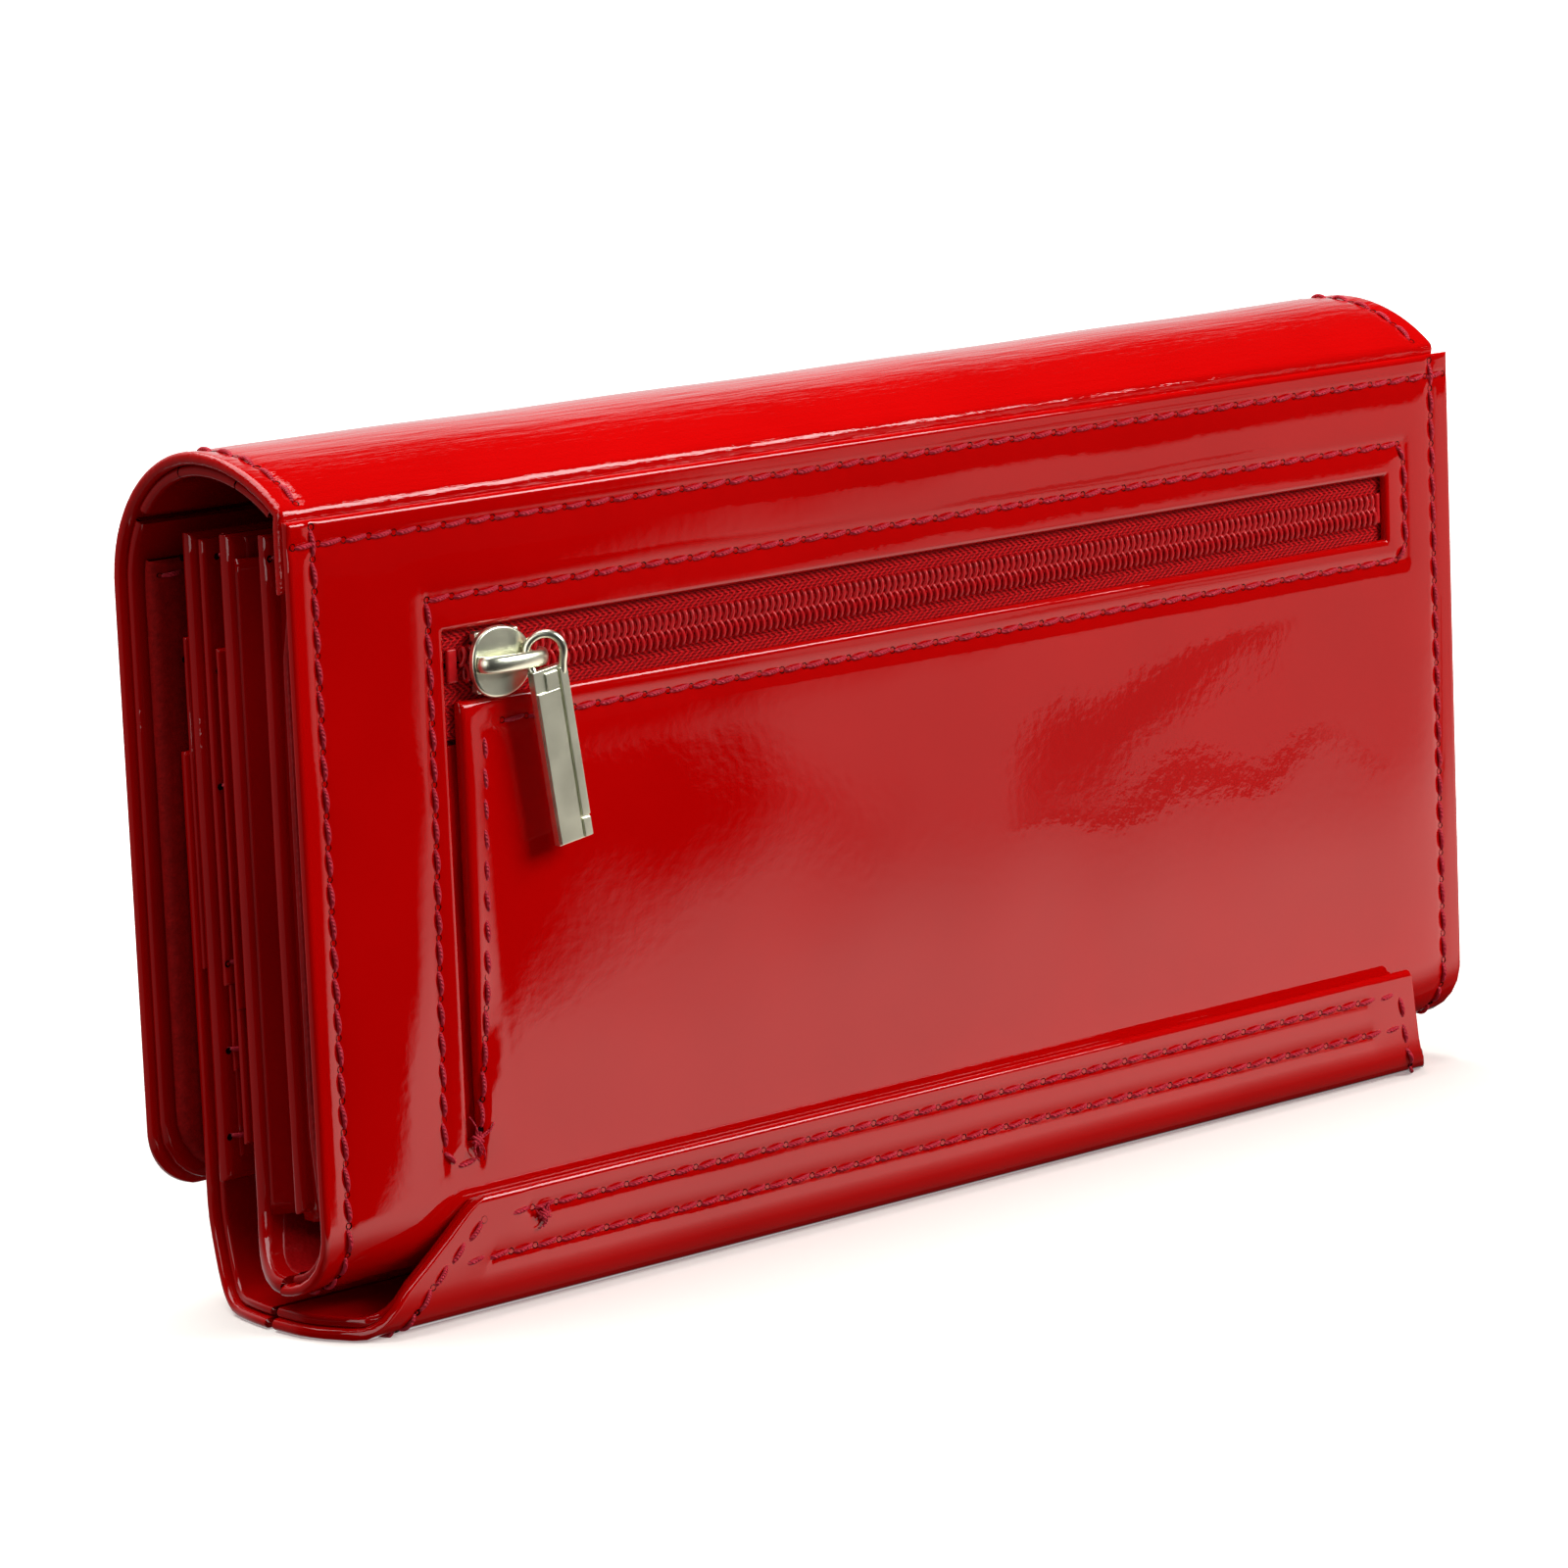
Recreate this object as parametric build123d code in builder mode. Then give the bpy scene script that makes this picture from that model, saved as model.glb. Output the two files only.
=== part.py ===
"""Long flap-over wallet in patent leather, with a zipped coin pocket in its back face.

The wallet stands on its lower long edge.  +X runs along its length, +Z is up, and the
origin is at the middle of the box round the wallet, at the height of the surface that
it stands on.  The zipped face looks towards -Y and the closed flap hangs on the +Y side.
Heights are millimetres above that surface.  A depth is how far a layer lies behind the
outer side of the zipped face, so what stands proud of that face has a negative depth.
"""
import os
from math import acos, cos, degrees, radians, sin

from build123d import *

os.makedirs("parts", exist_ok=True)

# ---------------------------------------------------------------- driving dimensions
LENGTH = 192.0            # overall length of the back panel and the flap
HEIGHT = 101.2            # top of the flap's arch
DEPTH = 33.5              # zipped face to the outer side of the closed flap
PROUD = 4.8               # the puller's stand in front of the zipped face

PANEL_THICK = 1.4         # the shell's patent leather
LINING_THICK = 1.0        # the lining leather
CLOTH_THICK = 0.3         # the coin pocket's cloth
JOINT_GAP = 0.3           # open line between pieces of different bodies

CORNER = 3.0              # rounded corner of a cut panel
LINING_SETBACK = 1.0      # linings end this far inside the leather they line

# arch: a wide rear bend from the panel's top edge, and a tighter front bend down to the flap
REAR_BEND = 24.1          # outer radius of the rear bend
FRONT_BEND = 16.5         # outer radius of the front bend
FLAP_RIGHT = 94.5         # the flap's right end; its left end is the panel's
FLAP_SKIN = 1.6           # outer leather of the flap
FLAP_LINING = 1.4         # lining of the flap
FLAP_BOTTOM = 13.5        # free edge of the flap
FLAP_CORNER = 7.0         # rounded corner at each end of the free edge
FLAP_HINGES = (57.0, 85.0, 122.0, 157.0)   # degrees of turn along the arch, 90 at its top
ROOT_BOTTOM = 84.2        # the flap is sewn behind the panel from here up to the panel's top
SLIP_POCKET_TURN = 162.5  # the slip pocket's open edge, on the front bend

# back panel and its zip
PANEL_BOTTOM = 13.0
PANEL_TOP = 94.2
WINDOW_LEFT, WINDOW_RIGHT = -74.5, 83.0
WINDOW_HEIGHT = 8.2
ZIP_HEIGHT = 75.1         # centre line of the zip
SLIT_LEFT, SLIT_RIGHT = -74.5, -72.9
SLIT_BOTTOM = 20.2
SLIT_GUSSET_LEFT, SLIT_GUSSET_RIGHT = -79.0, -67.5
SLIT_GUSSET_HEM = 3.0     # the gusset behind the slit reaches this far below it
TAPE_THICK = 0.6
TAPE_WIDTH = 8.6
TAPE_LEFT, TAPE_RIGHT = -78.0, 87.0
TAPE_GAP = 0.3            # half the line between the two tapes
COIL_WIDTH = 1.8
COIL_GAP = 0.05           # half the line between the two rows of coil
COIL_THICK = 1.2
COIL_LEFT, COIL_RIGHT = -72.0, 82.0
STOP_CLEAR = 0.1
STOP_LEFT_LENGTH, STOP_RIGHT_LENGTH = 1.5, 0.8
STOP_HALF_WIDTH = 2.2
STOP_DEPTH = 0.4

# zip slider and puller
SLIDER_X = -66.3
SLIDER_LENGTH = 9.5
SLIDER_WIDTH = 7.4
SLIDER_PLATE = 1.0
SLIDER_CORNER = 2.4
SLIDER_CLEAR = 0.2        # plate's stand in front of the panel's outer side
FLANGE_HALF_LENGTH = 2.4
FLANGE_CLEAR = 0.5        # flange to the coil beside it
FLANGE_TAPE_CLEAR = 0.3   # flange to the tape below it
BRIDGE_DEPTH = -3.2       # depth of the bridge bar's axis
BRIDGE_RADIUS = 0.6
BRIDGE_LEFT, BRIDGE_RIGHT = -70.5, -61.5
RING_INNER, RING_OUTER = 0.9, 1.6
RING_LEFT, RING_RIGHT = -65.7, -63.1
PULLER_X = -62.5          # where the puller's centre line passes the bridge's height
PULLER_BOTTOM = 53.2
PULLER_WIDTH = 5.0
PULLER_THICK = 1.3
PULLER_CORNER = 0.9
PULLER_OVERLAP = 0.5      # the tab's reach into the ring's wall
PULLER_LEAN = 8.0         # degrees from upright, in the plane of the face

# layers behind the zipped face
TAPE_DEPTH = PANEL_THICK
BAG_NEAR = TAPE_DEPTH + TAPE_THICK
BAG_FAR = BAG_NEAR + 0.9
BAG_TOP, BAG_BOTTOM = 83.6, 21.0
BAG_MOUTH = 71.0
BAG_SETBACK = 6.0         # the bag ends this far inside the panel's ends
BACK_LINING_NEAR, BACK_LINING_FAR = 2.9, 3.7
BACK_LINING_TOP = 92.5
BACK_LINING_SETBACK = 1.5
DIVIDER_NEAR, DIVIDER_FAR = 9.8, 11.2
DIVIDER_TOP, DIVIDER_BOTTOM = 91.7, 13.5
FRONT_LINING_NEAR, FRONT_WALL_NEAR, FRONT_WALL_FAR = 16.2, 17.2, 18.6
FRONT_WALL_TOP = 91.3
INNER_LENGTH = 184.0      # divider, front wall and leaf

# bottom fold of the body, a half ellipse under the pockets
FOLD_CENTRE = FRONT_WALL_FAR / 2
FOLD_DROP = 8.3           # from the panel's lower edge to the fold's underside
FOLD_FRONT_TOP = 16.85

# leaf and its wrap under the body
STRIP_PROUD = 2.8         # two layers stitched to the foot of the zipped face
STRIP_TOP, STRIP_BOTTOM = 14.4, 4.0
STRIP_LEFT_END = ((-74.5, 14.4), (-77.0, 13.4), (-83.4, 8.0), (-87.5, 4.0))   # (x, height)
STRIP_TOP_RIGHT, STRIP_BOTTOM_RIGHT = 83.0, 84.0
WRAP_END = 95.0
WRAP_FULL_DEPTH = 8.0     # under the body, the wrap has its full length from this depth on
WRAP_THICK = 1.4
WRAP_LINING = 1.0
WRAP_REAR_RADIUS = 4.0
WRAP_FLAT_END = 20.5      # the flat that the wallet stands on ends here
WRAP_FRONT_RISE = 13.0
LEAF_FAR = 27.8
LEAF_CORE_BOTTOM = 15.15
LEAF_TOP = 91.0
LEAF_CORE_NEAR, LEAF_CORE_FAR = 23.8, 25.0
MAGNET_RADIUS = 7.0       # the magnet's recess
MAGNET_CLEAR = 0.05
MAGNET_THICK = 1.0
MAGNET_HEIGHT = 40.0

# card slots: (near depth, far depth, bottom, top)
BODY_SLOTS = ((18.6, 19.4, 48.0, 91.2), (19.4, 20.2, 36.0, 78.0), (20.2, 21.2, 20.0, 64.5))
LEAF_OUTER_SLOTS = ((25.0, 25.8, 52.0, 90.6), (25.8, 26.6, 40.0, 78.8), (26.6, 27.8, 13.3, 65.6))
LEAF_INNER_SLOTS = ((23.0, 23.8, 18.0, 54.0), (22.3, 23.0, 28.3, 66.0), (21.6, 22.3, 38.6, 90.4))

# gusset halves at the ends of the two compartments
GUSSET_THICK = 0.5
GUSSET_OUT, GUSSET_IN = 92.6, 85.4
GUSSET_BOTTOM, GUSSET_TOP = 20.0, 88.0
GUSSET_CLEAR = 0.1

# ---------------------------------------------------------------- worked-out values
FACE_Y = PROUD - (DEPTH + PROUD) / 2      # where depth 0 lies along Y
TOP_DEPTH = DEPTH - FRONT_BEND            # the two bends meet over this depth
TOP_TURN = 90
REAR_CENTRE = (TOP_DEPTH, HEIGHT - REAR_BEND)
FRONT_CENTRE = (TOP_DEPTH, HEIGHT - FRONT_BEND)
ROOT_TURN = degrees(acos(TOP_DEPTH / REAR_BEND))   # where the arch leaves the zipped face


def face(depth):
    """The plane at one depth: sketch x is X, sketch y is height, and its normal is -Y."""
    return Plane(origin=(0, FACE_Y + depth, 0), x_dir=(1, 0, 0), z_dir=(0, -1, 0))


def end(x):
    """The cross-section plane at x: sketch x is depth, sketch y is height."""
    return Plane(origin=(x, FACE_Y, 0), x_dir=(0, 1, 0), z_dir=(1, 0, 0))


def arch_point(turn, inset):
    """A point of the arch, inset from its outer side, where the skin has turned so far."""
    centre, bend = (REAR_CENTRE, REAR_BEND) if turn <= TOP_TURN else (FRONT_CENTRE, FRONT_BEND)
    reach = bend - inset
    return (centre[0] - reach * cos(radians(turn)), centre[1] + reach * sin(radians(turn)))


def arch_line(start, stop, inset):
    """Draw the arch from one turn to the next, and return its two ends."""
    ends = arch_point(start, inset), arch_point(stop, inset)
    if stop <= TOP_TURN:
        CenterArc(REAR_CENTRE, REAR_BEND - inset, 180 - start, start - stop)
    elif start >= TOP_TURN:
        CenterArc(FRONT_CENTRE, FRONT_BEND - inset, 180 - start, start - stop)
    else:
        CenterArc(REAR_CENTRE, REAR_BEND - inset, 180 - start, start - TOP_TURN)
        CenterArc(FRONT_CENTRE, FRONT_BEND - inset, 180 - TOP_TURN, TOP_TURN - stop)
    return ends


def arch_band(start, stop, near, far):
    """Fill the stretch of the arch between two turns and two insets."""
    with BuildLine() as band:
        outer = arch_line(start, stop, near)
        inner = arch_line(start, stop, far)
        Line(outer[0], inner[0])
        Line(outer[1], inner[1])
    make_face(band.edges())


def wrap_line(inset):
    """Draw the wrap under the body, inset from its outer side, and return its two ends."""
    CenterArc((WRAP_REAR_RADIUS - STRIP_PROUD, WRAP_REAR_RADIUS), WRAP_REAR_RADIUS - inset, 180, 90)
    Line((WRAP_REAR_RADIUS - STRIP_PROUD, inset), (WRAP_FLAT_END, inset))
    EllipticalCenterArc(
        (WRAP_FLAT_END, WRAP_FRONT_RISE),
        LEAF_FAR - WRAP_FLAT_END - inset,
        WRAP_FRONT_RISE - inset,
        270,
        arc_size=90,
    )
    return (inset - STRIP_PROUD, WRAP_REAR_RADIUS), (LEAF_FAR - inset, WRAP_FRONT_RISE)


def wrap_band(near, far):
    """Fill the wrap under the body between two insets."""
    with BuildLine() as band:
        outer = wrap_line(near)
        inner = wrap_line(far)
        Line(outer[0], inner[0])
        Line(outer[1], inner[1])
    make_face(band.edges())


def fold_line(inset):
    """Draw the body's bottom fold, inset from its outer side, and return its two ends."""
    rear, front = inset, FRONT_WALL_FAR - inset
    EllipticalCenterArc(
        (FOLD_CENTRE, PANEL_BOTTOM), FOLD_CENTRE - inset, FOLD_DROP - inset, 180, arc_size=180
    )
    Line((front, PANEL_BOTTOM), (front, FOLD_FRONT_TOP))
    return (rear, PANEL_BOTTOM), (front, FOLD_FRONT_TOP)


def fold_band(near, far):
    """Fill the body's bottom fold between two insets."""
    with BuildLine() as band:
        outer = fold_line(near)
        inner = fold_line(far)
        Line(outer[0], inner[0])
        Line(outer[1], inner[1])
    make_face(band.edges())


def outline(left, right, bottom, top, corner=0.0):
    """Fill a panel's outline in a face plane, with rounded corners where a radius is given."""
    with Locations(((left + right) / 2, (bottom + top) / 2)):
        if corner:
            RectangleRounded(right - left, top - bottom, corner)
        else:
            Rectangle(right - left, top - bottom)


def block(left, right, bottom, top, near, far):
    """Add a plain bar between two X, two heights and two depths."""
    with BuildSketch(face(far)) as bar:
        outline(left, right, bottom, top)
    extrude(bar.sketch, amount=far - near)


def save(piece, label):
    """Label a finished piece and write it to its own file."""
    piece.part.label = label
    export_step(piece.part, f"parts/{label}.step")


half = LENGTH / 2
inner_half = INNER_LENGTH / 2
window_bottom = ZIP_HEIGHT - WINDOW_HEIGHT / 2
window_top = ZIP_HEIGHT + WINDOW_HEIGHT / 2

# ---------------------------------------------------------------- body: zipped face
with BuildPart() as back_panel:
    with BuildSketch(face(PANEL_THICK)):
        outline(-half, half, PANEL_BOTTOM, PANEL_TOP)
        with BuildSketch(face(PANEL_THICK), mode=Mode.SUBTRACT):
            outline(WINDOW_LEFT, WINDOW_RIGHT, window_bottom, window_top)
            outline(SLIT_LEFT, SLIT_RIGHT, SLIT_BOTTOM, ZIP_HEIGHT)
    extrude(amount=PANEL_THICK)
save(back_panel, "back_panel")

with BuildPart() as slit_gusset:
    block(
        SLIT_GUSSET_LEFT, SLIT_GUSSET_RIGHT, SLIT_BOTTOM - SLIT_GUSSET_HEM,
        ZIP_HEIGHT - TAPE_WIDTH - JOINT_GAP, TAPE_DEPTH, BAG_NEAR,
    )
save(slit_gusset, "slit_gusset")

for side, name in ((1, "zip_tape_upper"), (-1, "zip_tape_lower")):
    near_edge = ZIP_HEIGHT + side * TAPE_GAP
    far_edge = ZIP_HEIGHT + side * TAPE_WIDTH
    with BuildPart() as zip_tape:
        block(
            TAPE_LEFT, TAPE_RIGHT, min(near_edge, far_edge), max(near_edge, far_edge),
            TAPE_DEPTH, TAPE_DEPTH + TAPE_THICK,
        )
    save(zip_tape, name)

for side, name in ((1, "zip_coil_upper"), (-1, "zip_coil_lower")):
    near_edge = ZIP_HEIGHT + side * COIL_GAP
    far_edge = ZIP_HEIGHT + side * COIL_WIDTH
    with BuildPart() as zip_coil:
        block(
            COIL_LEFT, COIL_RIGHT, min(near_edge, far_edge), max(near_edge, far_edge),
            TAPE_DEPTH - COIL_THICK, TAPE_DEPTH,
        )
        fillet(zip_coil.edges().filter_by(Axis.X).group_by(Axis.Y)[0], COIL_THICK / 3)
    save(zip_coil, name)

with BuildPart() as zip_stops:
    for start, length in (
        (COIL_LEFT - STOP_CLEAR - STOP_LEFT_LENGTH, STOP_LEFT_LENGTH),
        (COIL_RIGHT + STOP_CLEAR, STOP_RIGHT_LENGTH),
    ):
        block(
            start, start + length, ZIP_HEIGHT - STOP_HALF_WIDTH, ZIP_HEIGHT + STOP_HALF_WIDTH,
            STOP_DEPTH, TAPE_DEPTH,
        )
save(zip_stops, "zip_stops")

bag_end = half - BAG_SETBACK
with BuildPart() as coin_pocket_bag:
    block(-bag_end, bag_end, BAG_BOTTOM, BAG_BOTTOM + CLOTH_THICK, BAG_NEAR, BAG_FAR)
    block(-bag_end, bag_end, BAG_BOTTOM, BAG_MOUTH, BAG_NEAR, BAG_NEAR + CLOTH_THICK)
    block(-bag_end, bag_end, BAG_BOTTOM, BAG_TOP, BAG_FAR - CLOTH_THICK, BAG_FAR)
save(coin_pocket_bag, "coin_pocket_bag")

lining_end = half - BACK_LINING_SETBACK
with BuildPart() as back_lining:
    block(
        -lining_end, lining_end, PANEL_BOTTOM + LINING_SETBACK, BACK_LINING_TOP,
        BACK_LINING_NEAR, BACK_LINING_FAR,
    )
save(back_lining, "back_lining")

# ---------------------------------------------------------------- body: bottom fold
with BuildPart() as body_bottom_fold:
    with BuildSketch(end(-half)):
        fold_band(0, PANEL_THICK)
    extrude(amount=LENGTH)
save(body_bottom_fold, "body_bottom_fold")

with BuildPart() as bottom_fold_lining:
    with BuildSketch(end(-half + LINING_SETBACK)):
        fold_band(PANEL_THICK, PANEL_THICK + LINING_THICK)
    extrude(amount=LENGTH - 2 * LINING_SETBACK)
save(bottom_fold_lining, "bottom_fold_lining")

# ---------------------------------------------------------------- body: wrap of the leaf
for near, far, name, shrink in (
    (-STRIP_PROUD, -STRIP_PROUD + WRAP_THICK, "leaf_root_strip", 0.0),
    (-STRIP_PROUD + WRAP_THICK, 0.0, "leaf_root_lining", LINING_SETBACK),
):
    with BuildPart() as strip:
        with BuildSketch(face(far)):
            with BuildLine():
                Polyline(
                    *((x + shrink, min(z, STRIP_TOP - shrink)) for x, z in STRIP_LEFT_END),
                    (STRIP_BOTTOM_RIGHT - shrink, STRIP_BOTTOM),
                    (STRIP_TOP_RIGHT - shrink, STRIP_TOP - shrink),
                    close=True,
                )
            make_face()
        extrude(amount=far - near)
    save(strip, name)

for near, far, name, shrink in (
    (0.0, WRAP_THICK, "leaf_bottom_wrap", 0.0),
    (WRAP_THICK, WRAP_THICK + WRAP_LINING, "leaf_wrap_lining", LINING_SETBACK),
):
    wrap_end = WRAP_END - shrink
    with BuildPart() as wrap:
        with BuildSketch(end(-wrap_end)):
            wrap_band(near, far)
        extrude(amount=2 * wrap_end)
        # under the body the wrap narrows towards the strip's own ends
        for side, strip_end in ((-1, STRIP_LEFT_END[-1][0]), (1, STRIP_BOTTOM_RIGHT)):
            with BuildSketch(Plane.XY):
                with BuildLine():
                    Polyline(
                        (strip_end - side * shrink, FACE_Y - STRIP_PROUD),
                        (side * wrap_end, FACE_Y - STRIP_PROUD),
                        (side * wrap_end, FACE_Y + WRAP_FULL_DEPTH),
                        close=True,
                    )
                make_face()
            extrude(amount=STRIP_BOTTOM, mode=Mode.SUBTRACT)
    save(wrap, name)

# ---------------------------------------------------------------- flap
rear_half_gap = degrees(JOINT_GAP / 2 / REAR_BEND)
front_half_gap = degrees(JOINT_GAP / 2 / FRONT_BEND)
turns = (
    (ROOT_TURN, FLAP_HINGES[0] - rear_half_gap),
    (FLAP_HINGES[0] + rear_half_gap, FLAP_HINGES[1] - rear_half_gap),
    (FLAP_HINGES[1] + rear_half_gap, FLAP_HINGES[2] - front_half_gap),
    (FLAP_HINGES[2] + front_half_gap, FLAP_HINGES[3] - front_half_gap),
    (FLAP_HINGES[3] + front_half_gap, 180),
)
LINING_INSET = FLAP_SKIN + FLAP_LINING

with BuildPart() as flap_root:
    with BuildSketch(end(-half)):
        arch_band(*turns[0], 0, FLAP_SKIN)
        with Locations(((PANEL_THICK + BACK_LINING_NEAR) / 2, (ROOT_BOTTOM + PANEL_TOP) / 2)):
            Rectangle(BACK_LINING_NEAR - PANEL_THICK, PANEL_TOP - ROOT_BOTTOM)
        # the skin is skived to lie over the panel's top edge
        with Locations((PANEL_THICK / 2, PANEL_TOP - FLAP_SKIN)):
            Rectangle(PANEL_THICK, 2 * FLAP_SKIN, mode=Mode.SUBTRACT)
    extrude(amount=half + FLAP_RIGHT)
save(flap_root, "flap_root")

for name, (start, stop) in zip(("flap_arch_rear", "flap_arch_top", "flap_arch_front"), turns[1:4]):
    for label, near, far, shrink in (
        (name, 0.0, FLAP_SKIN, 0.0),
        (name + "_lining", FLAP_SKIN, LINING_INSET, LINING_SETBACK),
    ):
        with BuildPart() as arch_layer:
            with BuildSketch(end(-half + shrink)):
                arch_band(start, stop, near, far)
            extrude(amount=half + FLAP_RIGHT - 2 * shrink)
        save(arch_layer, label)

for name, start, near, far, shrink in (
    ("flap_front", turns[4][0], 0.0, FLAP_SKIN, 0.0),
    ("flap_front_lining", turns[4][0], FLAP_SKIN, LINING_INSET, LINING_SETBACK),
    ("flap_slip_pocket", SLIP_POCKET_TURN, LINING_INSET, LINING_INSET + FLAP_SKIN, 2 * LINING_SETBACK),
):
    low = FLAP_BOTTOM + shrink
    with BuildPart() as flap_layer:
        with BuildSketch(end(-half + shrink)):
            arch_band(start, 180, near, far)
            with Locations((DEPTH - (near + far) / 2, (low + FRONT_CENTRE[1]) / 2)):
                Rectangle(far - near, FRONT_CENTRE[1] - low)
        extrude(amount=half + FLAP_RIGHT - 2 * shrink)
        fillet(flap_layer.edges().filter_by(Axis.Y).group_by(Axis.Z)[0], FLAP_CORNER - shrink)
        if name == "flap_front_lining":
            with Locations(face(DEPTH - near)):
                with Locations((0, MAGNET_HEIGHT)):
                    Hole(MAGNET_RADIUS)
    save(flap_layer, name)

with BuildPart() as flap_magnet:
    with BuildSketch(face(DEPTH - FLAP_SKIN)):
        with Locations((0, MAGNET_HEIGHT)):
            Circle(MAGNET_RADIUS - MAGNET_CLEAR)
    extrude(amount=MAGNET_THICK)
save(flap_magnet, "flap_magnet")

# ---------------------------------------------------------------- leaf
with BuildPart() as leaf_core:
    with BuildSketch(face(LEAF_CORE_FAR)):
        outline(-inner_half, inner_half, LEAF_CORE_BOTTOM, LEAF_TOP, CORNER)
        with Locations((0, MAGNET_HEIGHT)):
            Circle(MAGNET_RADIUS, mode=Mode.SUBTRACT)
    extrude(amount=LEAF_CORE_FAR - LEAF_CORE_NEAR)
save(leaf_core, "leaf_core")

with BuildPart() as leaf_magnet:
    with BuildSketch(face((LEAF_CORE_NEAR + LEAF_CORE_FAR + MAGNET_THICK) / 2)):
        with Locations((0, MAGNET_HEIGHT)):
            Circle(MAGNET_RADIUS - MAGNET_CLEAR)
    extrude(amount=MAGNET_THICK)
save(leaf_magnet, "leaf_magnet")

for family, slots in (
    ("body_card_slot", BODY_SLOTS),
    ("leaf_outer_slot", LEAF_OUTER_SLOTS),
    ("leaf_inner_slot", LEAF_INNER_SLOTS),
):
    for number, (near, far, low, high) in enumerate(slots, start=1):
        with BuildPart() as card_slot:
            with BuildSketch(face(far)):
                outline(-inner_half, inner_half, low, high)
            extrude(amount=far - near)
        save(card_slot, f"{family}_{number}")

# ---------------------------------------------------------------- pockets of the body
with BuildPart() as divider:
    with BuildSketch(face(DIVIDER_FAR)):
        outline(-inner_half, inner_half, DIVIDER_BOTTOM, DIVIDER_TOP, CORNER)
    extrude(amount=DIVIDER_FAR - DIVIDER_NEAR)
save(divider, "divider")

wall_bottom = FOLD_FRONT_TOP + JOINT_GAP
for name, near, far in (
    ("front_wall", FRONT_WALL_NEAR, FRONT_WALL_FAR),
    ("front_wall_lining", FRONT_LINING_NEAR, FRONT_WALL_NEAR),
):
    with BuildPart() as wall:
        block(-inner_half, inner_half, wall_bottom, FRONT_WALL_TOP, near, far)
    save(wall, name)

# each gusset half is a thin sheet that slants inwards to the gusset's fold
back_mouth = (BACK_LINING_FAR + DIVIDER_NEAR) / 2
front_mouth = (DIVIDER_FAR + FRONT_LINING_NEAR) / 2
gussets = (
    ("gusset_back", BACK_LINING_FAR + GUSSET_CLEAR, back_mouth - JOINT_GAP / 2),
    ("gusset_divider_rear", DIVIDER_NEAR - GUSSET_CLEAR, back_mouth + JOINT_GAP / 2),
    ("gusset_divider_front", DIVIDER_FAR + GUSSET_CLEAR, front_mouth - JOINT_GAP / 2),
    ("gusset_front", FRONT_LINING_NEAR - GUSSET_CLEAR, front_mouth + JOINT_GAP / 2),
)
for name, root, fold in gussets:
    step_back = GUSSET_THICK if fold > root else -GUSSET_THICK
    outer_x = min(GUSSET_OUT, inner_half)
    with BuildPart() as gusset:
        for side in (-1, 1):
            with BuildSketch(Plane.XY.offset(GUSSET_BOTTOM)):
                with BuildLine():
                    Polyline(
                        (side * outer_x, FACE_Y + root),
                        (side * GUSSET_IN, FACE_Y + fold - step_back),
                        (side * GUSSET_IN, FACE_Y + fold),
                        (side * outer_x, FACE_Y + root + step_back),
                        close=True,
                    )
                make_face()
            extrude(amount=GUSSET_TOP - GUSSET_BOTTOM)
    save(gusset, name)

# ---------------------------------------------------------------- zip slider and puller
plate_front = -SLIDER_CLEAR - SLIDER_PLATE
flange_inner = COIL_WIDTH + FLANGE_CLEAR
with BuildPart() as zip_slider:
    with BuildSketch(face(-SLIDER_CLEAR)):
        with Locations((SLIDER_X, ZIP_HEIGHT)):
            RectangleRounded(SLIDER_LENGTH, SLIDER_WIDTH, SLIDER_CORNER)
    extrude(amount=SLIDER_PLATE)
    for side in (-1, 1):
        edge, root = sorted((side * flange_inner, side * SLIDER_WIDTH / 2))
        block(
            SLIDER_X - FLANGE_HALF_LENGTH, SLIDER_X + FLANGE_HALF_LENGTH,
            ZIP_HEIGHT + edge, ZIP_HEIGHT + root,
            -SLIDER_CLEAR, TAPE_DEPTH - FLANGE_TAPE_CLEAR,
        )
    # the bridge: a bar along the zip on two posts
    with BuildSketch(end(BRIDGE_LEFT)):
        with Locations((BRIDGE_DEPTH, ZIP_HEIGHT)):
            Circle(BRIDGE_RADIUS)
    extrude(amount=BRIDGE_RIGHT - BRIDGE_LEFT)
    for post_x in (BRIDGE_LEFT + BRIDGE_RADIUS, BRIDGE_RIGHT - BRIDGE_RADIUS):
        with BuildSketch(face(plate_front)):
            with Locations((post_x, ZIP_HEIGHT)):
                Circle(BRIDGE_RADIUS)
        extrude(amount=plate_front - BRIDGE_DEPTH)
save(zip_slider, "zip_slider")

lean = radians(PULLER_LEAN)
tab_top = PULLER_OVERLAP - RING_OUTER
tab_length = (ZIP_HEIGHT - PULLER_BOTTOM) / cos(lean) + tab_top
with BuildPart() as zip_puller:
    with BuildSketch(end(RING_LEFT)):
        with Locations((BRIDGE_DEPTH, ZIP_HEIGHT)):
            Circle(RING_OUTER)
    extrude(amount=RING_RIGHT - RING_LEFT)
    tab_plane = Plane(
        origin=(PULLER_X, FACE_Y + BRIDGE_DEPTH + PULLER_THICK / 2, ZIP_HEIGHT),
        x_dir=(cos(lean), 0, sin(lean)),
        z_dir=(0, -1, 0),
    )
    with BuildSketch(tab_plane):
        with Locations((0, tab_top - tab_length / 2)):
            RectangleRounded(PULLER_WIDTH, tab_length, PULLER_CORNER)
    extrude(amount=PULLER_THICK)
    # the ring's hole, cut clear through whatever of the tab reaches into it
    with BuildSketch(end(BRIDGE_LEFT)):
        with Locations((BRIDGE_DEPTH, ZIP_HEIGHT)):
            Circle(RING_INNER)
    extrude(amount=BRIDGE_RIGHT - BRIDGE_LEFT, mode=Mode.SUBTRACT)
save(zip_puller, "zip_puller")
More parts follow.
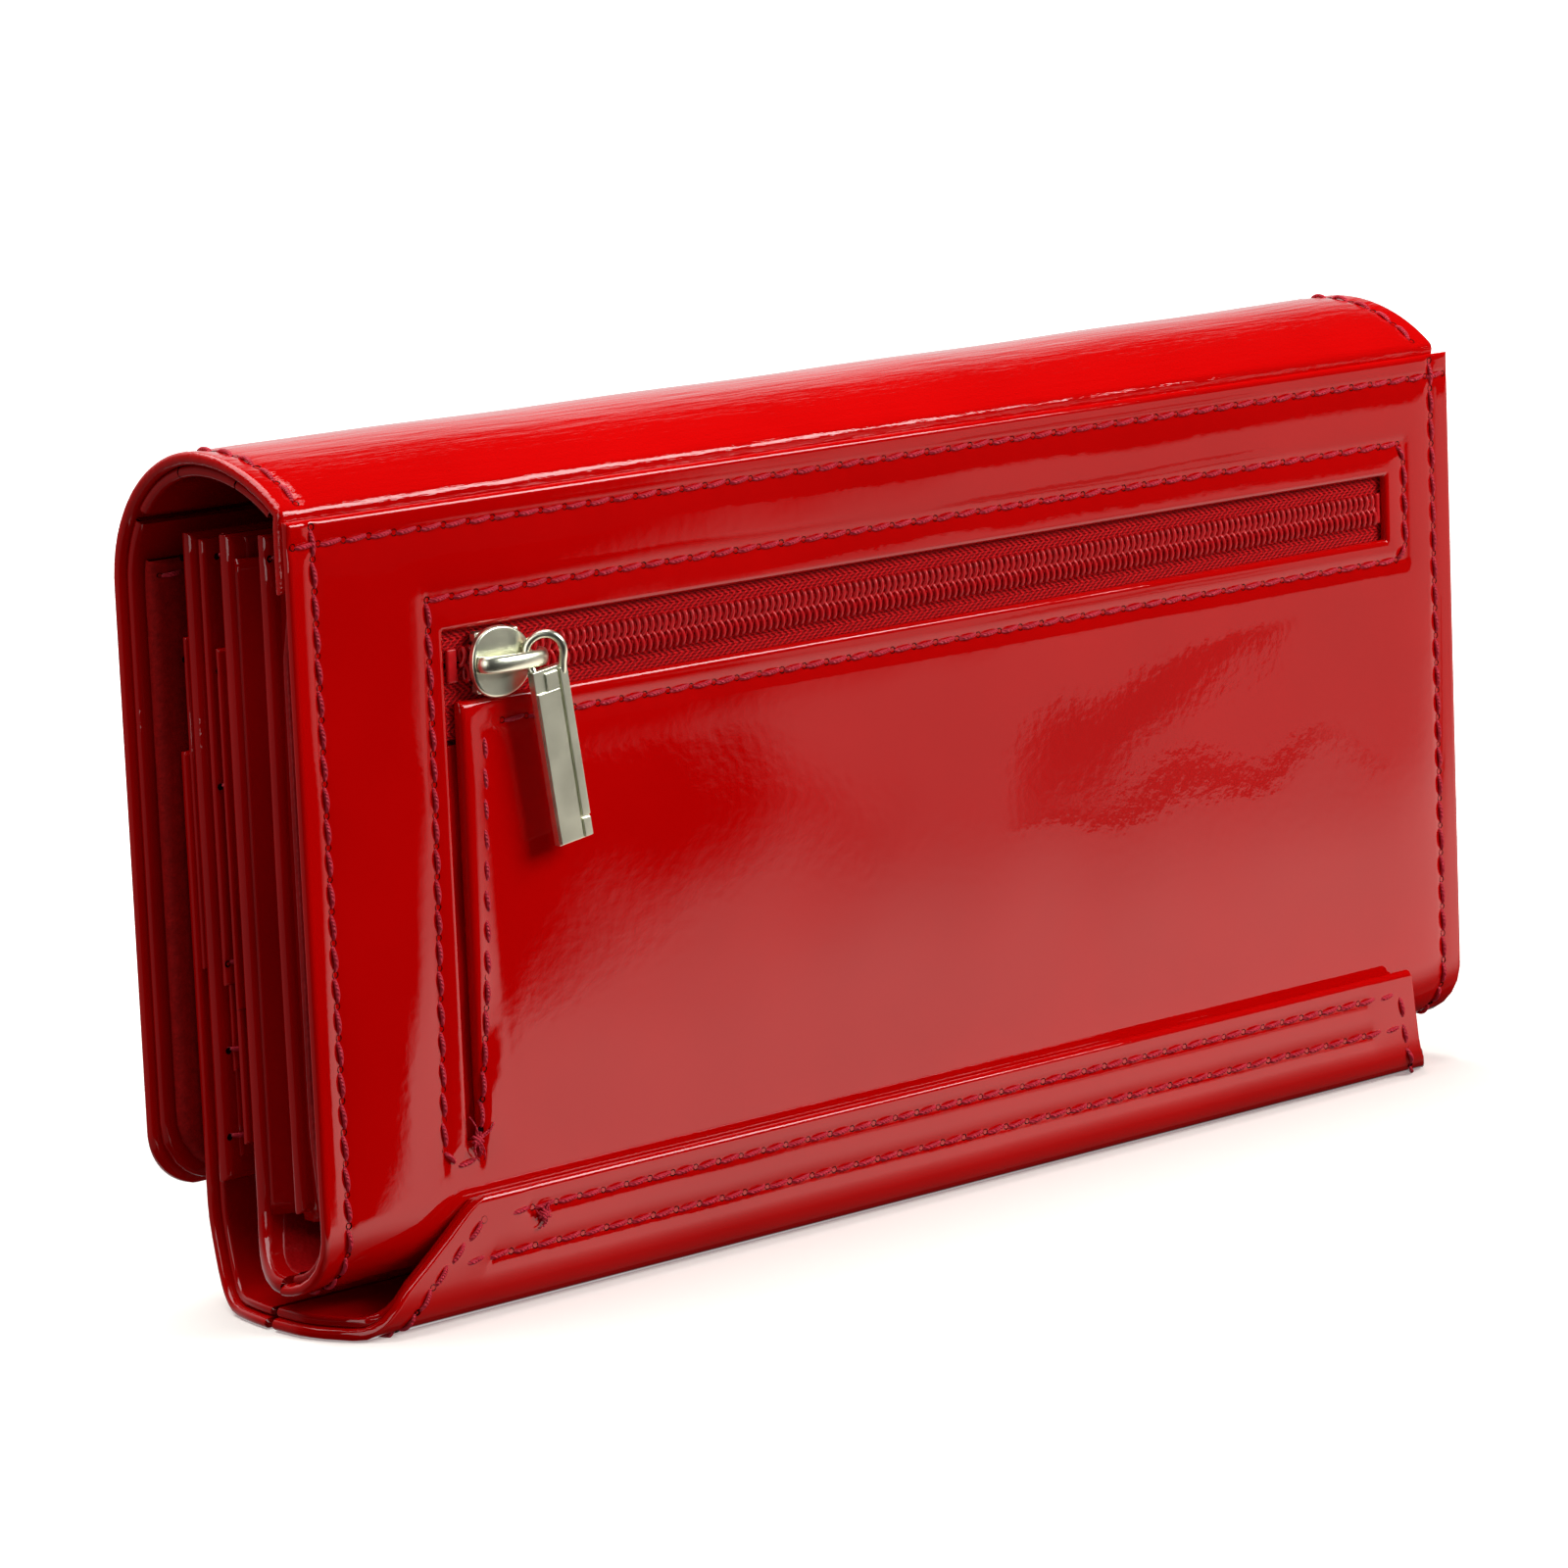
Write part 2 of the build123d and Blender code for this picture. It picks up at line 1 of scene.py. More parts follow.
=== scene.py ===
"""Visual model of the flap-over long wallet: patent leather skins, stitching, zip and metalwork.

Lengths are worked in millimetres with the same depth and height as the CAD: a depth is how far
a point lies behind the outer side of the zipped face.  `place` turns (x, depth, height) into the
row frame in metres.
"""
from math import cos, pi, radians, sin

import bpy
import numpy as np
from mathutils import Matrix, Vector


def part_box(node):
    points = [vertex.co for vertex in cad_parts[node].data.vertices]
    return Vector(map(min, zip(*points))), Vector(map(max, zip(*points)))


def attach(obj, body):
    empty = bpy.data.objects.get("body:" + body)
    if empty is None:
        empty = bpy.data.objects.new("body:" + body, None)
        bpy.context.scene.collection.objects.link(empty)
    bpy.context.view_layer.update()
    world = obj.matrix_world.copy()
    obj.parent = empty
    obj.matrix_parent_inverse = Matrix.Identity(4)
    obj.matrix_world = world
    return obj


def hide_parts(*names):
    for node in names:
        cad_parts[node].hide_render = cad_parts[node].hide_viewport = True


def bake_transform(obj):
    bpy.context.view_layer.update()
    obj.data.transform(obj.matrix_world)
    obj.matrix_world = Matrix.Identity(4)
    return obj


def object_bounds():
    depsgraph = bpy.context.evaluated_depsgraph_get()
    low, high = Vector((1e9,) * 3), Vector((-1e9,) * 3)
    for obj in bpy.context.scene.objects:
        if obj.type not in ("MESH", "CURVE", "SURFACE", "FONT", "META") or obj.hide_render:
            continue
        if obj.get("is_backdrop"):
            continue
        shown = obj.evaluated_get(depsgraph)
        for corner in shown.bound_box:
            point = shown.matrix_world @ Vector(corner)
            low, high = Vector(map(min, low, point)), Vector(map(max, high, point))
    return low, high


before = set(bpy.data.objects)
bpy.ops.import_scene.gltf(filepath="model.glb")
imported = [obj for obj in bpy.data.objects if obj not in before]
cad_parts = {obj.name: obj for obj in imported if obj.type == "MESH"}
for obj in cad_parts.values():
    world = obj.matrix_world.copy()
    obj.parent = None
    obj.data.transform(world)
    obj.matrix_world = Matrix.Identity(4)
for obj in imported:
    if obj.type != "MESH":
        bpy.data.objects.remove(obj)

cad_low, cad_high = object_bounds()

# ---------------------------------------------------------------- sizes, millimetres
MM = 0.001
FACE_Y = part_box("back_panel")[0].y / MM
LENGTH = (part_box("back_panel")[1].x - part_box("back_panel")[0].x) / MM
HALF = LENGTH / 2
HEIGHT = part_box("flap_arch_top")[1].z / MM
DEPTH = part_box("flap_front")[1].y / MM - FACE_Y
PANEL_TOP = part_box("back_panel")[1].z / MM
PANEL_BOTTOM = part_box("back_panel")[0].z / MM
PANEL_THICK = 1.4
LINING = 1.0
INNER_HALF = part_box("divider")[1].x / MM
REAR_BEND, FRONT_BEND = 24.1, 16.5
FLAP_SKIN, FLAP_LINING = 1.6, 1.4
FLAP_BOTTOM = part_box("flap_front")[0].z / MM
FLAP_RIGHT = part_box("flap_front")[1].x / MM
TOP_TURN = 90
ZIP_HEIGHT = 75.1
WINDOW = (-74.5, 83.0, 71.0, 79.2)
SLIT = (-74.5, -72.9, 20.2)
FOLD_FRONT = 18.6
WRAP_FLAT_END = 20.5
LEAF_FAR = 27.8
STRIP_PROUD = 2.8
STRIP_TOP = 14.4
STITCH = 3.6
THREAD = 0.28

rng = np.random.default_rng(7)


def place(points):
    """(x, depth, height) in millimetres to the row frame in metres."""
    p = np.asarray(points, float)
    return np.stack([p[..., 0], p[..., 1] + FACE_Y, p[..., 2]], -1) * MM


# ---------------------------------------------------------------- materials
def settings(node, **values):
    """Set a node's inputs by name, _ for a space; another node's socket is linked instead."""
    for key, value in values.items():
        socket = node.inputs[key.replace("_", " ")]
        if isinstance(value, bpy.types.NodeSocket):
            node.id_data.links.new(value, socket)
        else:
            socket.default_value = value
    return node


def add(tree, kind, **values):
    return settings(tree.nodes.new(kind), **values)


def object_coords(tree, scale=(1, 1, 1)):
    """Object coordinates in millimetres, stretched along each axis."""
    coords = tree.nodes.new("ShaderNodeTexCoord")
    mapping = add(tree, "ShaderNodeMapping", Vector=coords.outputs["Object"], Scale=[s / MM for s in scale])
    return mapping.outputs["Vector"]


def noise(coords, scale, detail=2.0, roughness=0.5):
    tree = coords.id_data
    node = add(tree, "ShaderNodeTexNoise", Vector=coords, Scale=scale, Detail=detail, Roughness=roughness)
    return node.outputs["Fac"]


def maths(operation, a, b=0.0):
    """A sum of two values, of which at least one is a socket."""
    tree = next(value.id_data for value in (a, b) if isinstance(value, bpy.types.NodeSocket))
    node = tree.nodes.new("ShaderNodeMath")
    node.operation = operation
    for socket, value in zip(node.inputs, (a, b)):
        if isinstance(value, bpy.types.NodeSocket):
            tree.links.new(value, socket)
        else:
            socket.default_value = value
    return node.outputs["Value"]


def fade(value, start, stop, low, high, kind="SMOOTHSTEP"):
    """From low to high while the value goes from start to stop, and level beyond them."""
    node = add(value.id_data, "ShaderNodeMapRange", Value=value)
    node.interpolation_type = kind
    settings(node, From_Min=start, From_Max=stop, To_Min=low, To_Max=high)
    return node.outputs["Result"]


def bump(height, distance, *normal):
    """The normal bent by a height, over an earlier normal if there is one; distance in millimetres."""
    node = add(height.id_data, "ShaderNodeBump", Height=height, Strength=1.0, Distance=distance * MM)
    if normal:
        settings(node, Normal=normal[0])
    return node.outputs["Normal"]


def ramp(value, *stops):
    node = add(value.id_data, "ShaderNodeValToRGB", Fac=value)
    elements = node.color_ramp.elements
    while len(elements) < len(stops):
        elements.new(0.5)
    for element, (share, colour) in zip(elements, stops):
        element.position = share
        element.color = (*colour, 1)
    return node.outputs["Color"]


def blank_material(name, **values):
    """A material with its shader's values set, and the shader itself."""
    material = bpy.data.materials.new(name)
    material.use_nodes = True
    return material, settings(material.node_tree.nodes["Principled BSDF"], **values)


def toned(name, deep, bright, scale, detail, roughness=0.5, span=(0.3, 0.7), **values):
    """A material whose colour wanders between two tones: itself, its shader, coordinates and tone."""
    material, shader = blank_material(name, **values)
    flat = object_coords(material.node_tree)
    tone = noise(flat, scale, detail, roughness)
    settings(shader, Base_Color=ramp(tone, (span[0], deep), (span[1], bright)))
    return material, shader, flat, tone


def patent_leather(name, deep, bright, wrinkle=0.0, wave=1.0):
    """Lacquered leather: a saturated red under a clear, slightly wavy gloss."""
    material, shader, flat, _ = toned(
        name, deep, bright, 0.035, 3, Roughness=0.5, Specular_IOR_Level=0.0,
        Coat_Weight=1.0, Coat_Roughness=0.02, Coat_IOR=1.5,
    )
    last = bump(noise(flat, 0.055, 0), 0.24 * wave)
    last = bump(noise(flat, 0.75, 2), 0.010, last)
    if wrinkle:
        along_length = object_coords(material.node_tree, (0.10, 1.0, 1.0))
        last = bump(noise(along_length, 0.75, 4, 0.6), 0.16 * wrinkle, last)
    settings(shader, Normal=last, Coat_Normal=last)
    return material


def soft_leather(name, deep, bright):
    """Lining leather with a fine pebble and a soft shine."""
    material, shader, flat, _ = toned(
        name, deep, bright, 0.12, 4, Roughness=0.38, Specular_IOR_Level=0.1,
        Coat_Weight=0.35, Coat_Roughness=0.18,
    )
    pebble = add(material.node_tree, "ShaderNodeTexVoronoi", Vector=flat, Scale=1.6)
    settings(shader, Normal=bump(noise(flat, 0.2, 3), 0.25, bump(pebble.outputs["Distance"], 0.06)))
    return material


def suede(name, deep, bright):
    """Napped edge leather: rough, with a faint fibre."""
    material, shader, flat, _ = toned(name, deep, bright, 0.9, 5, 0.7, Roughness=0.7, Specular_IOR_Level=0.05)
    settings(shader, Normal=bump(noise(flat, 2.5, 4), 0.10))
    return material


def woven_tape(name, deep, bright):
    """Herringbone zip tape: diagonal ribs that change hand from band to band."""
    material, shader = blank_material(name, Roughness=0.6, Specular_IOR_Level=0.12)
    split = add(material.node_tree, "ShaderNodeSeparateXYZ", Vector=object_coords(material.node_tree)).outputs
    band = maths("PINGPONG", split["Z"], 1.5)
    slant = maths("ADD", split["X"], maths("MULTIPLY", band, 1.3))
    rib = maths("SINE", maths("MULTIPLY", slant, 2 * pi / 0.95))
    yarn = maths("SINE", maths("MULTIPLY", split["Z"], 2 * pi / 0.36))
    weave = maths("ADD", maths("MULTIPLY", rib, 0.7), maths("MULTIPLY", yarn, 0.3))
    share = maths("ADD", maths("MULTIPLY", weave, 0.5), 0.5)
    # the colour follows the weave's relief: its grooves are painted darker and its ribs lighter, painted
    # shade and light of the weave on a red tape
    settings(shader, Base_Color=ramp(share, (0.1, deep), (0.9, bright)), Normal=bump(share, 0.22))
    return material


def thread_material(name, deep, bright):
    """Twisted polyester thread with a soft shine along the strands."""
    material, shader, flat, _ = toned(name, deep, bright, 1.4, 3, Roughness=0.45, Specular_IOR_Level=0.25)
    twist = add(material.node_tree, "ShaderNodeTexWave", Vector=flat, Scale=1.3)
    twist.bands_direction = "DIAGONAL"
    settings(shader, Normal=bump(twist.outputs["Fac"], 0.08))
    return material


def nylon(name, deep, bright):
    """Glossy nylon zip coil."""
    material, shader, _, tone = toned(name, deep, bright, 0.8, 2, Roughness=0.3, Specular_IOR_Level=0.35)
    settings(shader, Normal=bump(tone, 0.02))
    return material


def plated_metal(name, colour, roughness):
    """Pale gold plate with faint polishing marks."""
    darker = tuple(c * 0.96 for c in colour)
    material, shader, _, worn = toned(name, darker, colour, 0.35, 3, span=(0.35, 0.65), Metallic=1.0)
    rough = ramp(worn, (0.3, (roughness * 0.92,) * 3), (0.7, (roughness * 1.08,) * 3))
    marks = noise(object_coords(material.node_tree, (1.0, 1.0, 0.08)), 6.0, 2)
    settings(shader, Roughness=rough, Normal=bump(marks, 0.004))
    return material


RED_DEEP, RED_BRIGHT = (0.53, 0.0004, 0.0004), (0.60, 0.0008, 0.0008)
patent = patent_leather("patent_red", RED_DEEP, RED_BRIGHT)
patent_arch = patent_leather("patent_red_creased", RED_DEEP, RED_BRIGHT, wrinkle=1.0)
# painted shade: the layers inside the wallet get a darker copy of the patent red, standing in for the shade
# inside it
shaded_inner_patent = patent_leather("patent_inner_shaded", (0.40, 0.0006, 0.0010), (0.50, 0.0010, 0.0016), wave=4.0)
lining = soft_leather("lining_red", (0.30, 0.0010, 0.0020), (0.40, 0.0020, 0.0035))
napped = suede("napped_edge", (0.24, 0.002, 0.002), (0.40, 0.005, 0.005))
tape = woven_tape("tape_red", (0.24, 0.0008, 0.0018), (0.78, 0.0050, 0.0090))
coil = nylon("coil_red", (0.56, 0.0020, 0.0050), (0.70, 0.0050, 0.0100))
thread = thread_material("thread_crimson", (0.50, 0.010, 0.028), (0.68, 0.026, 0.055))
# painted shade: each needle hole is a near-black disc sunk a little into the skin, dark as a hole in shade
hole = suede("needle_hole_painted_shade", (0.008, 0.0001, 0.0001), (0.014, 0.0002, 0.0002))
cloth = woven_tape("pocket_cloth", (0.08, 0.001, 0.002), (0.26, 0.004, 0.008))
metal = plated_metal("pale_gold_plate", (0.93, 0.95, 0.76), 0.33)
steel = plated_metal("magnet_steel", (0.62, 0.62, 0.64), 0.3)


# ---------------------------------------------------------------- paths
def line(start, stop):
    start, stop = np.array(start, float), np.array(stop, float)
    count = max(2, int(np.linalg.norm(stop - start) / 0.25))
    return start + (stop - start) * np.linspace(0, 1, count)[:, None]


def arc(centre, reach_y, reach_z, first, last):
    """Points of an ellipse from one angle to another, in degrees from +depth."""
    turn = np.radians(np.linspace(first, last, max(8, int(abs(last - first)))))
    return np.stack([centre[0] + reach_y * np.cos(turn), centre[1] + reach_z * np.sin(turn)], -1)


def curve(*controls):
    """A Bezier curve through its first and last control points."""
    points = [np.array(c, float) for c in controls]
    t = np.linspace(0, 1, 40)[:, None]
    while len(points) > 1:
        points = [a * (1 - t) + b * t for a, b in zip(points[:-1], points[1:])]
    return points[0]


class Path:
    """A smooth line in the (depth, height) plane with its outward normals."""

    def __init__(self, *stretches, side=1):
        points = np.concatenate(stretches)
        keep = np.r_[True, np.linalg.norm(np.diff(points, axis=0), axis=1) > 1e-4]
        points = points[keep]
        gaps = np.linalg.norm(np.diff(points, axis=0), axis=1)
        self.s = np.r_[0, np.cumsum(gaps)]
        tangent = np.gradient(points, self.s, axis=0)
        tangent /= np.linalg.norm(tangent, axis=1)[:, None]
        self.points = points
        self.normals = side * np.stack([tangent[:, 1], -tangent[:, 0]], -1)
        self.length = self.s[-1]

    def at(self, s):
        """Points and outward normals at these lengths along the path, straight on past its ends."""
        s = np.asarray(s, float)
        inside = np.clip(s, 0, self.length)
        p = np.stack([np.interp(inside, self.s, self.points[:, k]) for k in (0, 1)], -1)
        n = np.stack([np.interp(inside, self.s, self.normals[:, k]) for k in (0, 1)], -1)
        n /= np.linalg.norm(n, axis=-1)[..., None]
        tangent = np.stack([-n[..., 1], n[..., 0]], -1)
        first = self.points[1] - self.points[0]
        sign = 1.0 if first @ np.array([-self.normals[0][1], self.normals[0][0]]) > 0 else -1.0
        return p + tangent * (sign * (s - inside))[..., None], n

    def nearest(self, depth, height):
        """The length along the path that lies nearest to a point."""
        return float(self.s[np.argmin(np.hypot(self.points[:, 0] - depth, self.points[:, 1] - height))])


TOP_DEPTH = DEPTH - FRONT_BEND
rear_centre = (TOP_DEPTH, HEIGHT - REAR_BEND)
front_centre = (TOP_DEPTH, HEIGHT - FRONT_BEND)


def arch_point(turn, inset=0.0):
    """A point of the arch where the skin has turned so far."""
    centre, bend = (rear_centre, REAR_BEND) if turn <= TOP_TURN else (front_centre, FRONT_BEND)
    return (
        centre[0] - (bend - inset) * cos(radians(turn)),
        centre[1] + (bend - inset) * sin(radians(turn)),
    )


def arch_blend(turn_start, turn_stop):
    """The places of the arch at two turns."""
    return [tuple(place((0, *arch_point(t)))) for t in (turn_start, turn_stop)]


# the flap: up behind the panel, out over its top edge, over the arch and down the front
JOIN_TURN, JOIN_LEAD = 51.0, 1.3
ROOT_DEPTH, ROOT_FOOT, ROOT_TOP = 1.5, 86.0, 93.6
join = arch_point(JOIN_TURN)
join_lead = (join[0] - JOIN_LEAD * sin(radians(JOIN_TURN)), join[1] - JOIN_LEAD * cos(radians(JOIN_TURN)))
flap_path = Path(
    line((ROOT_DEPTH, ROOT_FOOT), (ROOT_DEPTH, ROOT_TOP)),
    curve((ROOT_DEPTH, ROOT_TOP), (1.45, 94.35), join_lead, join),
    arc(rear_centre, REAR_BEND, REAR_BEND, 180 - JOIN_TURN, 90),
    arc(front_centre, FRONT_BEND, FRONT_BEND, 90, 0),
    line((DEPTH, front_centre[1]), (DEPTH, FLAP_BOTTOM)),
    side=-1,
)
# the body: down the zipped face, round the bottom fold and up the front wall
FOLD_RX, FOLD_RZ = FOLD_FRONT / 2, 8.3
WALL_TOP = 91.3
body_path = Path(
    line((0, PANEL_TOP), (0, PANEL_BOTTOM)),
    arc((FOLD_RX, PANEL_BOTTOM), FOLD_RX, FOLD_RZ, 180, 360),
    line((FOLD_FRONT, PANEL_BOTTOM), (FOLD_FRONT, WALL_TOP)),
)
# the leaf: down the strip at the foot of the zipped face, under the body and up the leaf's front
WRAP_REAR, WRAP_FRONT, LEAF_TOP = 4.0, 13.0, 90.6
wrap_path = Path(
    line((-STRIP_PROUD, STRIP_TOP), (-STRIP_PROUD, WRAP_REAR)),
    arc((WRAP_REAR - STRIP_PROUD, WRAP_REAR), WRAP_REAR, WRAP_REAR, 180, 270),
    line((WRAP_REAR - STRIP_PROUD, 0), (WRAP_FLAT_END, 0)),
    arc((WRAP_FLAT_END, WRAP_FRONT), LEAF_FAR - WRAP_FLAT_END, WRAP_FRONT, 270, 360),
    line((LEAF_FAR, WRAP_FRONT), (LEAF_FAR, LEAF_TOP)),
)


def ease(value, reach):
    """From 0 to 1, softly at both ends, while the value goes from 0 to reach."""
    t = np.clip(value / reach, 0, 1)
    return t * t * (3 - 2 * t)


# ---------------------------------------------------------------- mesh building
def make_object(name, vertices, faces, materials, normals=None, face_materials=None, smooth=True):
    """A mesh object from points in the row frame, in metres."""
    mesh = bpy.data.meshes.new(name)
    mesh.from_pydata([tuple(v) for v in vertices], [], faces)
    for material in materials if isinstance(materials, (list, tuple)) else [materials]:
        mesh.materials.append(material)
    if face_materials is not None:
        mesh.polygons.foreach_set("material_index", face_materials)
    mesh.polygons.foreach_set("use_smooth", [smooth] * len(mesh.polygons))
    mesh.update()
    if normals is not None:
        mesh.normals_split_custom_set_from_vertices([tuple(n) for n in normals])
    obj = bpy.data.objects.new(name, mesh)
    bpy.context.scene.collection.objects.link(obj)
    return obj


TONGUE, TONGUE_SINK = 0.25, 0.03
EDGE_STEPS = (0.0, 0.04, 0.14, 0.32, 0.56, 0.85, 1.3)
SEAM_STEPS = (-1.0, -0.6, -0.3, 0.0, 0.3, 0.6, 1.0)
LEAST_STEP = 0.03
# the stretch beside each end that follows an outline which isn't a rectangle
ENDS_BAND = 30.0


def grid_lines(low, high, step, stops=(), fine=(), free=(True, True)):
    """Grid places from low to high: even steps, the stops, and close lines beside edges and seams."""
    found = set(np.round(np.linspace(low, high, max(2, int(np.ceil((high - low) / step)) + 1)), 4))
    for edge, inward, is_free in ((low, 1, free[0]), (high, -1, free[1])):
        if is_free:
            found.update(round(edge + inward * d, 4) for d in EDGE_STEPS)
    for stop in stops:
        found.update(round(stop + d * side, 4) for d in EDGE_STEPS for side in (-1, 1))
    for seam in fine:
        found.update(round(seam + d, 4) for d in SEAM_STEPS)
    kept = sorted(v for v in found if low - 1e-6 <= v <= high + 1e-6)
    must = {round(low, 4), round(high, 4)} | {round(s, 4) for s in stops}
    thinned = []
    for v in kept:
        if not thinned or v - thinned[-1] >= LEAST_STEP:
            thinned.append(v)
        elif round(v, 4) in must:
            if round(thinned[-1], 4) in must:
                thinned.append(v)
            else:
                thinned[-1] = v
    return np.array(thinned)


def segment_distance(x, s, start, stop):
    """Distance of grid points from one straight run of a seam, in the skin's own plane."""
    ax, as_ = start
    dx, ds = stop[0] - ax, stop[1] - as_
    t = np.clip(((x - ax) * dx + (s - as_) * ds) / max(dx * dx + ds * ds, 1e-9), 0, 1)
    return np.hypot(x - ax - t * dx, s - as_ - t * ds)


def seam_relief(seams, depth=0.16, width=0.75, pillow=0.10, reach=3.0):
    """Relief of a sewn skin: a narrow valley under the thread and a soft swell beside it."""

    def relief(x, s):
        total = np.zeros_like(x)
        for run in seams:
            for start, stop in zip(run[:-1], run[1:]):
                d = segment_distance(x, s, start, stop)
                valley = depth * np.exp(-((d / width) ** 2)) + pillow * np.exp(-((d / reach) ** 2))
                total = np.minimum(total, -valley)
        return total

    return relief


def past_hole(x, s, window):
    """Distance outside of a hole (two x, two s), below zero within it."""
    x_first, x_last, s_first, s_last = window
    return np.maximum(np.maximum(x_first - x, x - x_last), np.maximum(s_first - s, s - s_last))


def grid_normals(grid, xs, rows, like):
    """Unit normals of a grid of points, on the side that other vectors look to."""
    n = np.cross(np.gradient(grid, xs, axis=1), np.gradient(grid, rows, axis=0))
    n = n / np.maximum(np.linalg.norm(n, axis=-1)[..., None], 1e-12)
    flip = np.sign((n * like).sum(-1))
    flip[flip == 0] = 1
    return n * flip[..., None]


def skin_faces(front_id, back_id, solid, outward, free):
    """Faces of a skin's two sides and of its joined ends, from the point numbers of both sides."""
    faces = []
    for i, j in zip(*np.nonzero(solid)):
        quad = [front_id[i, j], front_id[i, j + 1], front_id[i + 1, j + 1], front_id[i + 1, j]]
        rear = [back_id[i, j], back_id[i + 1, j], back_id[i + 1, j + 1], back_id[i, j + 1]]
        if not outward:
            quad.reverse()
            rear.reverse()
        faces.append(quad)
        if set(rear) != set(quad):
            faces.append(rear)
    n_rows, n_cols = front_id.shape
    for row, is_free in ((0, free[0]), (n_rows - 1, free[1])):
        if is_free:
            continue
        for j in range(n_cols - 1):
            loop = (front_id[row, j], back_id[row, j], back_id[row, j + 1], front_id[row, j + 1])
            loop = list(dict.fromkeys(loop))
            if (row == 0) != outward:
                loop.reverse()
            if len(loop) > 2:
                faces.append(loop)
    return faces


def skin(
    name, path, span, half, near, far, material,
    relief=None, free=(True, True), step=(2.0, 2.5), holes=(), seams=(), ends=None, sway=None,
):
    """One layer of leather laid along a path: rounded free edges, two faces and closed joined ends.

    span is the stretch of the path, half the layer's half length or its two ends along X, near and
    far its two faces below the path.  ends(s) gives the layer's two X ends where its outline isn't
    a rectangle.  sway(x, s) moves both faces alike.
    """
    # the grid: X along the wallet, S along the path, with a row for the tongue beyond each end
    x_low, x_high = (-half, half) if np.isscalar(half) else half
    seam_points = [p for run in seams for p in run]
    hole_x = [v for h in holes for v in h[:2]]
    hole_s = [v for h in holes for v in h[2:]]
    xs = grid_lines(x_low, x_high, step[1], hole_x, [p[0] for p in seam_points])
    ss = grid_lines(span[0], span[1], step[0], hole_s, [p[1] for p in seam_points], free)
    rows = np.r_[ss[0] - TONGUE, ss, ss[-1] + TONGUE]
    X, S = np.meshgrid(xs, rows)
    # free edges roll off over half the thickness
    radius = (far - near) / 2
    edge = np.minimum(X - x_low, x_high - X)
    if free[0]:
        edge = np.minimum(edge, S - span[0])
    if free[1]:
        edge = np.minimum(edge, span[1] - S)
    for window in holes:
        edge = np.minimum(edge, np.maximum(past_hole(X, S, window), 0))
    edge = np.clip(edge, 0, radius)
    roll = radius - np.sqrt(np.maximum(radius ** 2 - (radius - edge) ** 2, 0))
    lift = relief(X, S) * (1 - roll / radius) if relief else np.zeros_like(X)
    shift = sway(X, S) if sway else np.zeros_like(X)
    # both faces in space
    spread = X
    if ends is not None:
        left, right = ends(S)
        low_in, high_in = x_low + ENDS_BAND, x_high - ENDS_BAND
        spread = np.where(X < low_in, low_in + (X - low_in) * (low_in - left) / ENDS_BAND, X)
        spread = np.where(X > high_in, high_in + (X - high_in) * (right - high_in) / ENDS_BAND, spread)
    base, normal = path.at(S)

    def face(offset):
        p = base + normal * offset[..., None]
        return np.stack([spread, p[..., 0], p[..., 1]], -1)

    front, back = face(-near - roll + lift + shift), face(-far + roll + shift)
    # normals, which the two faces share along a free edge
    out = np.insert(normal, 0, 0.0, axis=-1)
    front_n, back_n = grid_normals(front, xs, rows, out), grid_normals(back, xs, rows, -out)
    shared = edge < 1e-6
    mixed = front_n + back_n
    sideways = np.zeros_like(mixed)
    sideways[..., 0] = np.where(X - x_low < 1e-6, -1.0, np.where(x_high - X < 1e-6, 1.0, 0.0))
    mixed = np.where(np.linalg.norm(mixed, axis=-1)[..., None] < 0.2, sideways, mixed)
    mixed /= np.maximum(np.linalg.norm(mixed, axis=-1)[..., None], 1e-9)
    front_n = np.where(shared[..., None], mixed, front_n)
    # a joined end runs on as a tongue, a hair below both faces, inside the piece it meets
    for row, is_free in ((0, free[0]), (-1, free[1])):
        if not is_free:
            sink = out[row] * TONGUE_SINK
            sink[:, 0] = np.sign(xs - (x_low + x_high) / 2) * TONGUE_SINK
            front[row] -= sink
            back[row] += sink * (-1, 1, 1)
    kept = slice(1 if free[0] else 0, -1 if free[1] else None)
    front, back, front_n, back_n = (a[kept] for a in (front, back, front_n, back_n))
    X, S, out, shared = (a[kept] for a in (X, S, out, shared))
    # faces, and only the points that they use
    front_id = np.arange(shared.size).reshape(shared.shape)
    back_id = np.where(shared, front_id, front_id + shared.size)
    solid = np.ones((shared.shape[0] - 1, shared.shape[1] - 1), bool)
    for window in holes:
        mid_x, mid_s = ((a[:-1, :-1] + a[1:, 1:]) / 2 for a in (X, S))
        solid &= past_hole(mid_x, mid_s, window) >= 0
    i, j = shared.shape[0] // 2, shared.shape[1] // 2
    corner = np.cross(front[i, j + 1] - front[i, j], front[i + 1, j] - front[i, j])
    faces = skin_faces(front_id, back_id, solid, corner @ out[i, j] > 0, free)
    vertices = place(np.concatenate([front.reshape(-1, 3), back.reshape(-1, 3)]))
    normals = np.concatenate([front_n.reshape(-1, 3), back_n.reshape(-1, 3)])
    used = sorted({v for f in faces for v in f})
    renumber = {v: k for k, v in enumerate(used)}
    faces = [[renumber[v] for v in f] for f in faces]
    return make_object(name, vertices[used], faces, material, normals[used])


def frames_along(points, up):
    """Unit tangents, and two cross axes that stay near `up`, along a run of points."""
    tangent = np.gradient(points, axis=0)
    tangent /= np.maximum(np.linalg.norm(tangent, axis=1)[:, None], 1e-12)
    side = np.cross(tangent, up)
    side /= np.maximum(np.linalg.norm(side, axis=1)[:, None], 1e-12)
    return tangent, side, np.cross(side, tangent)


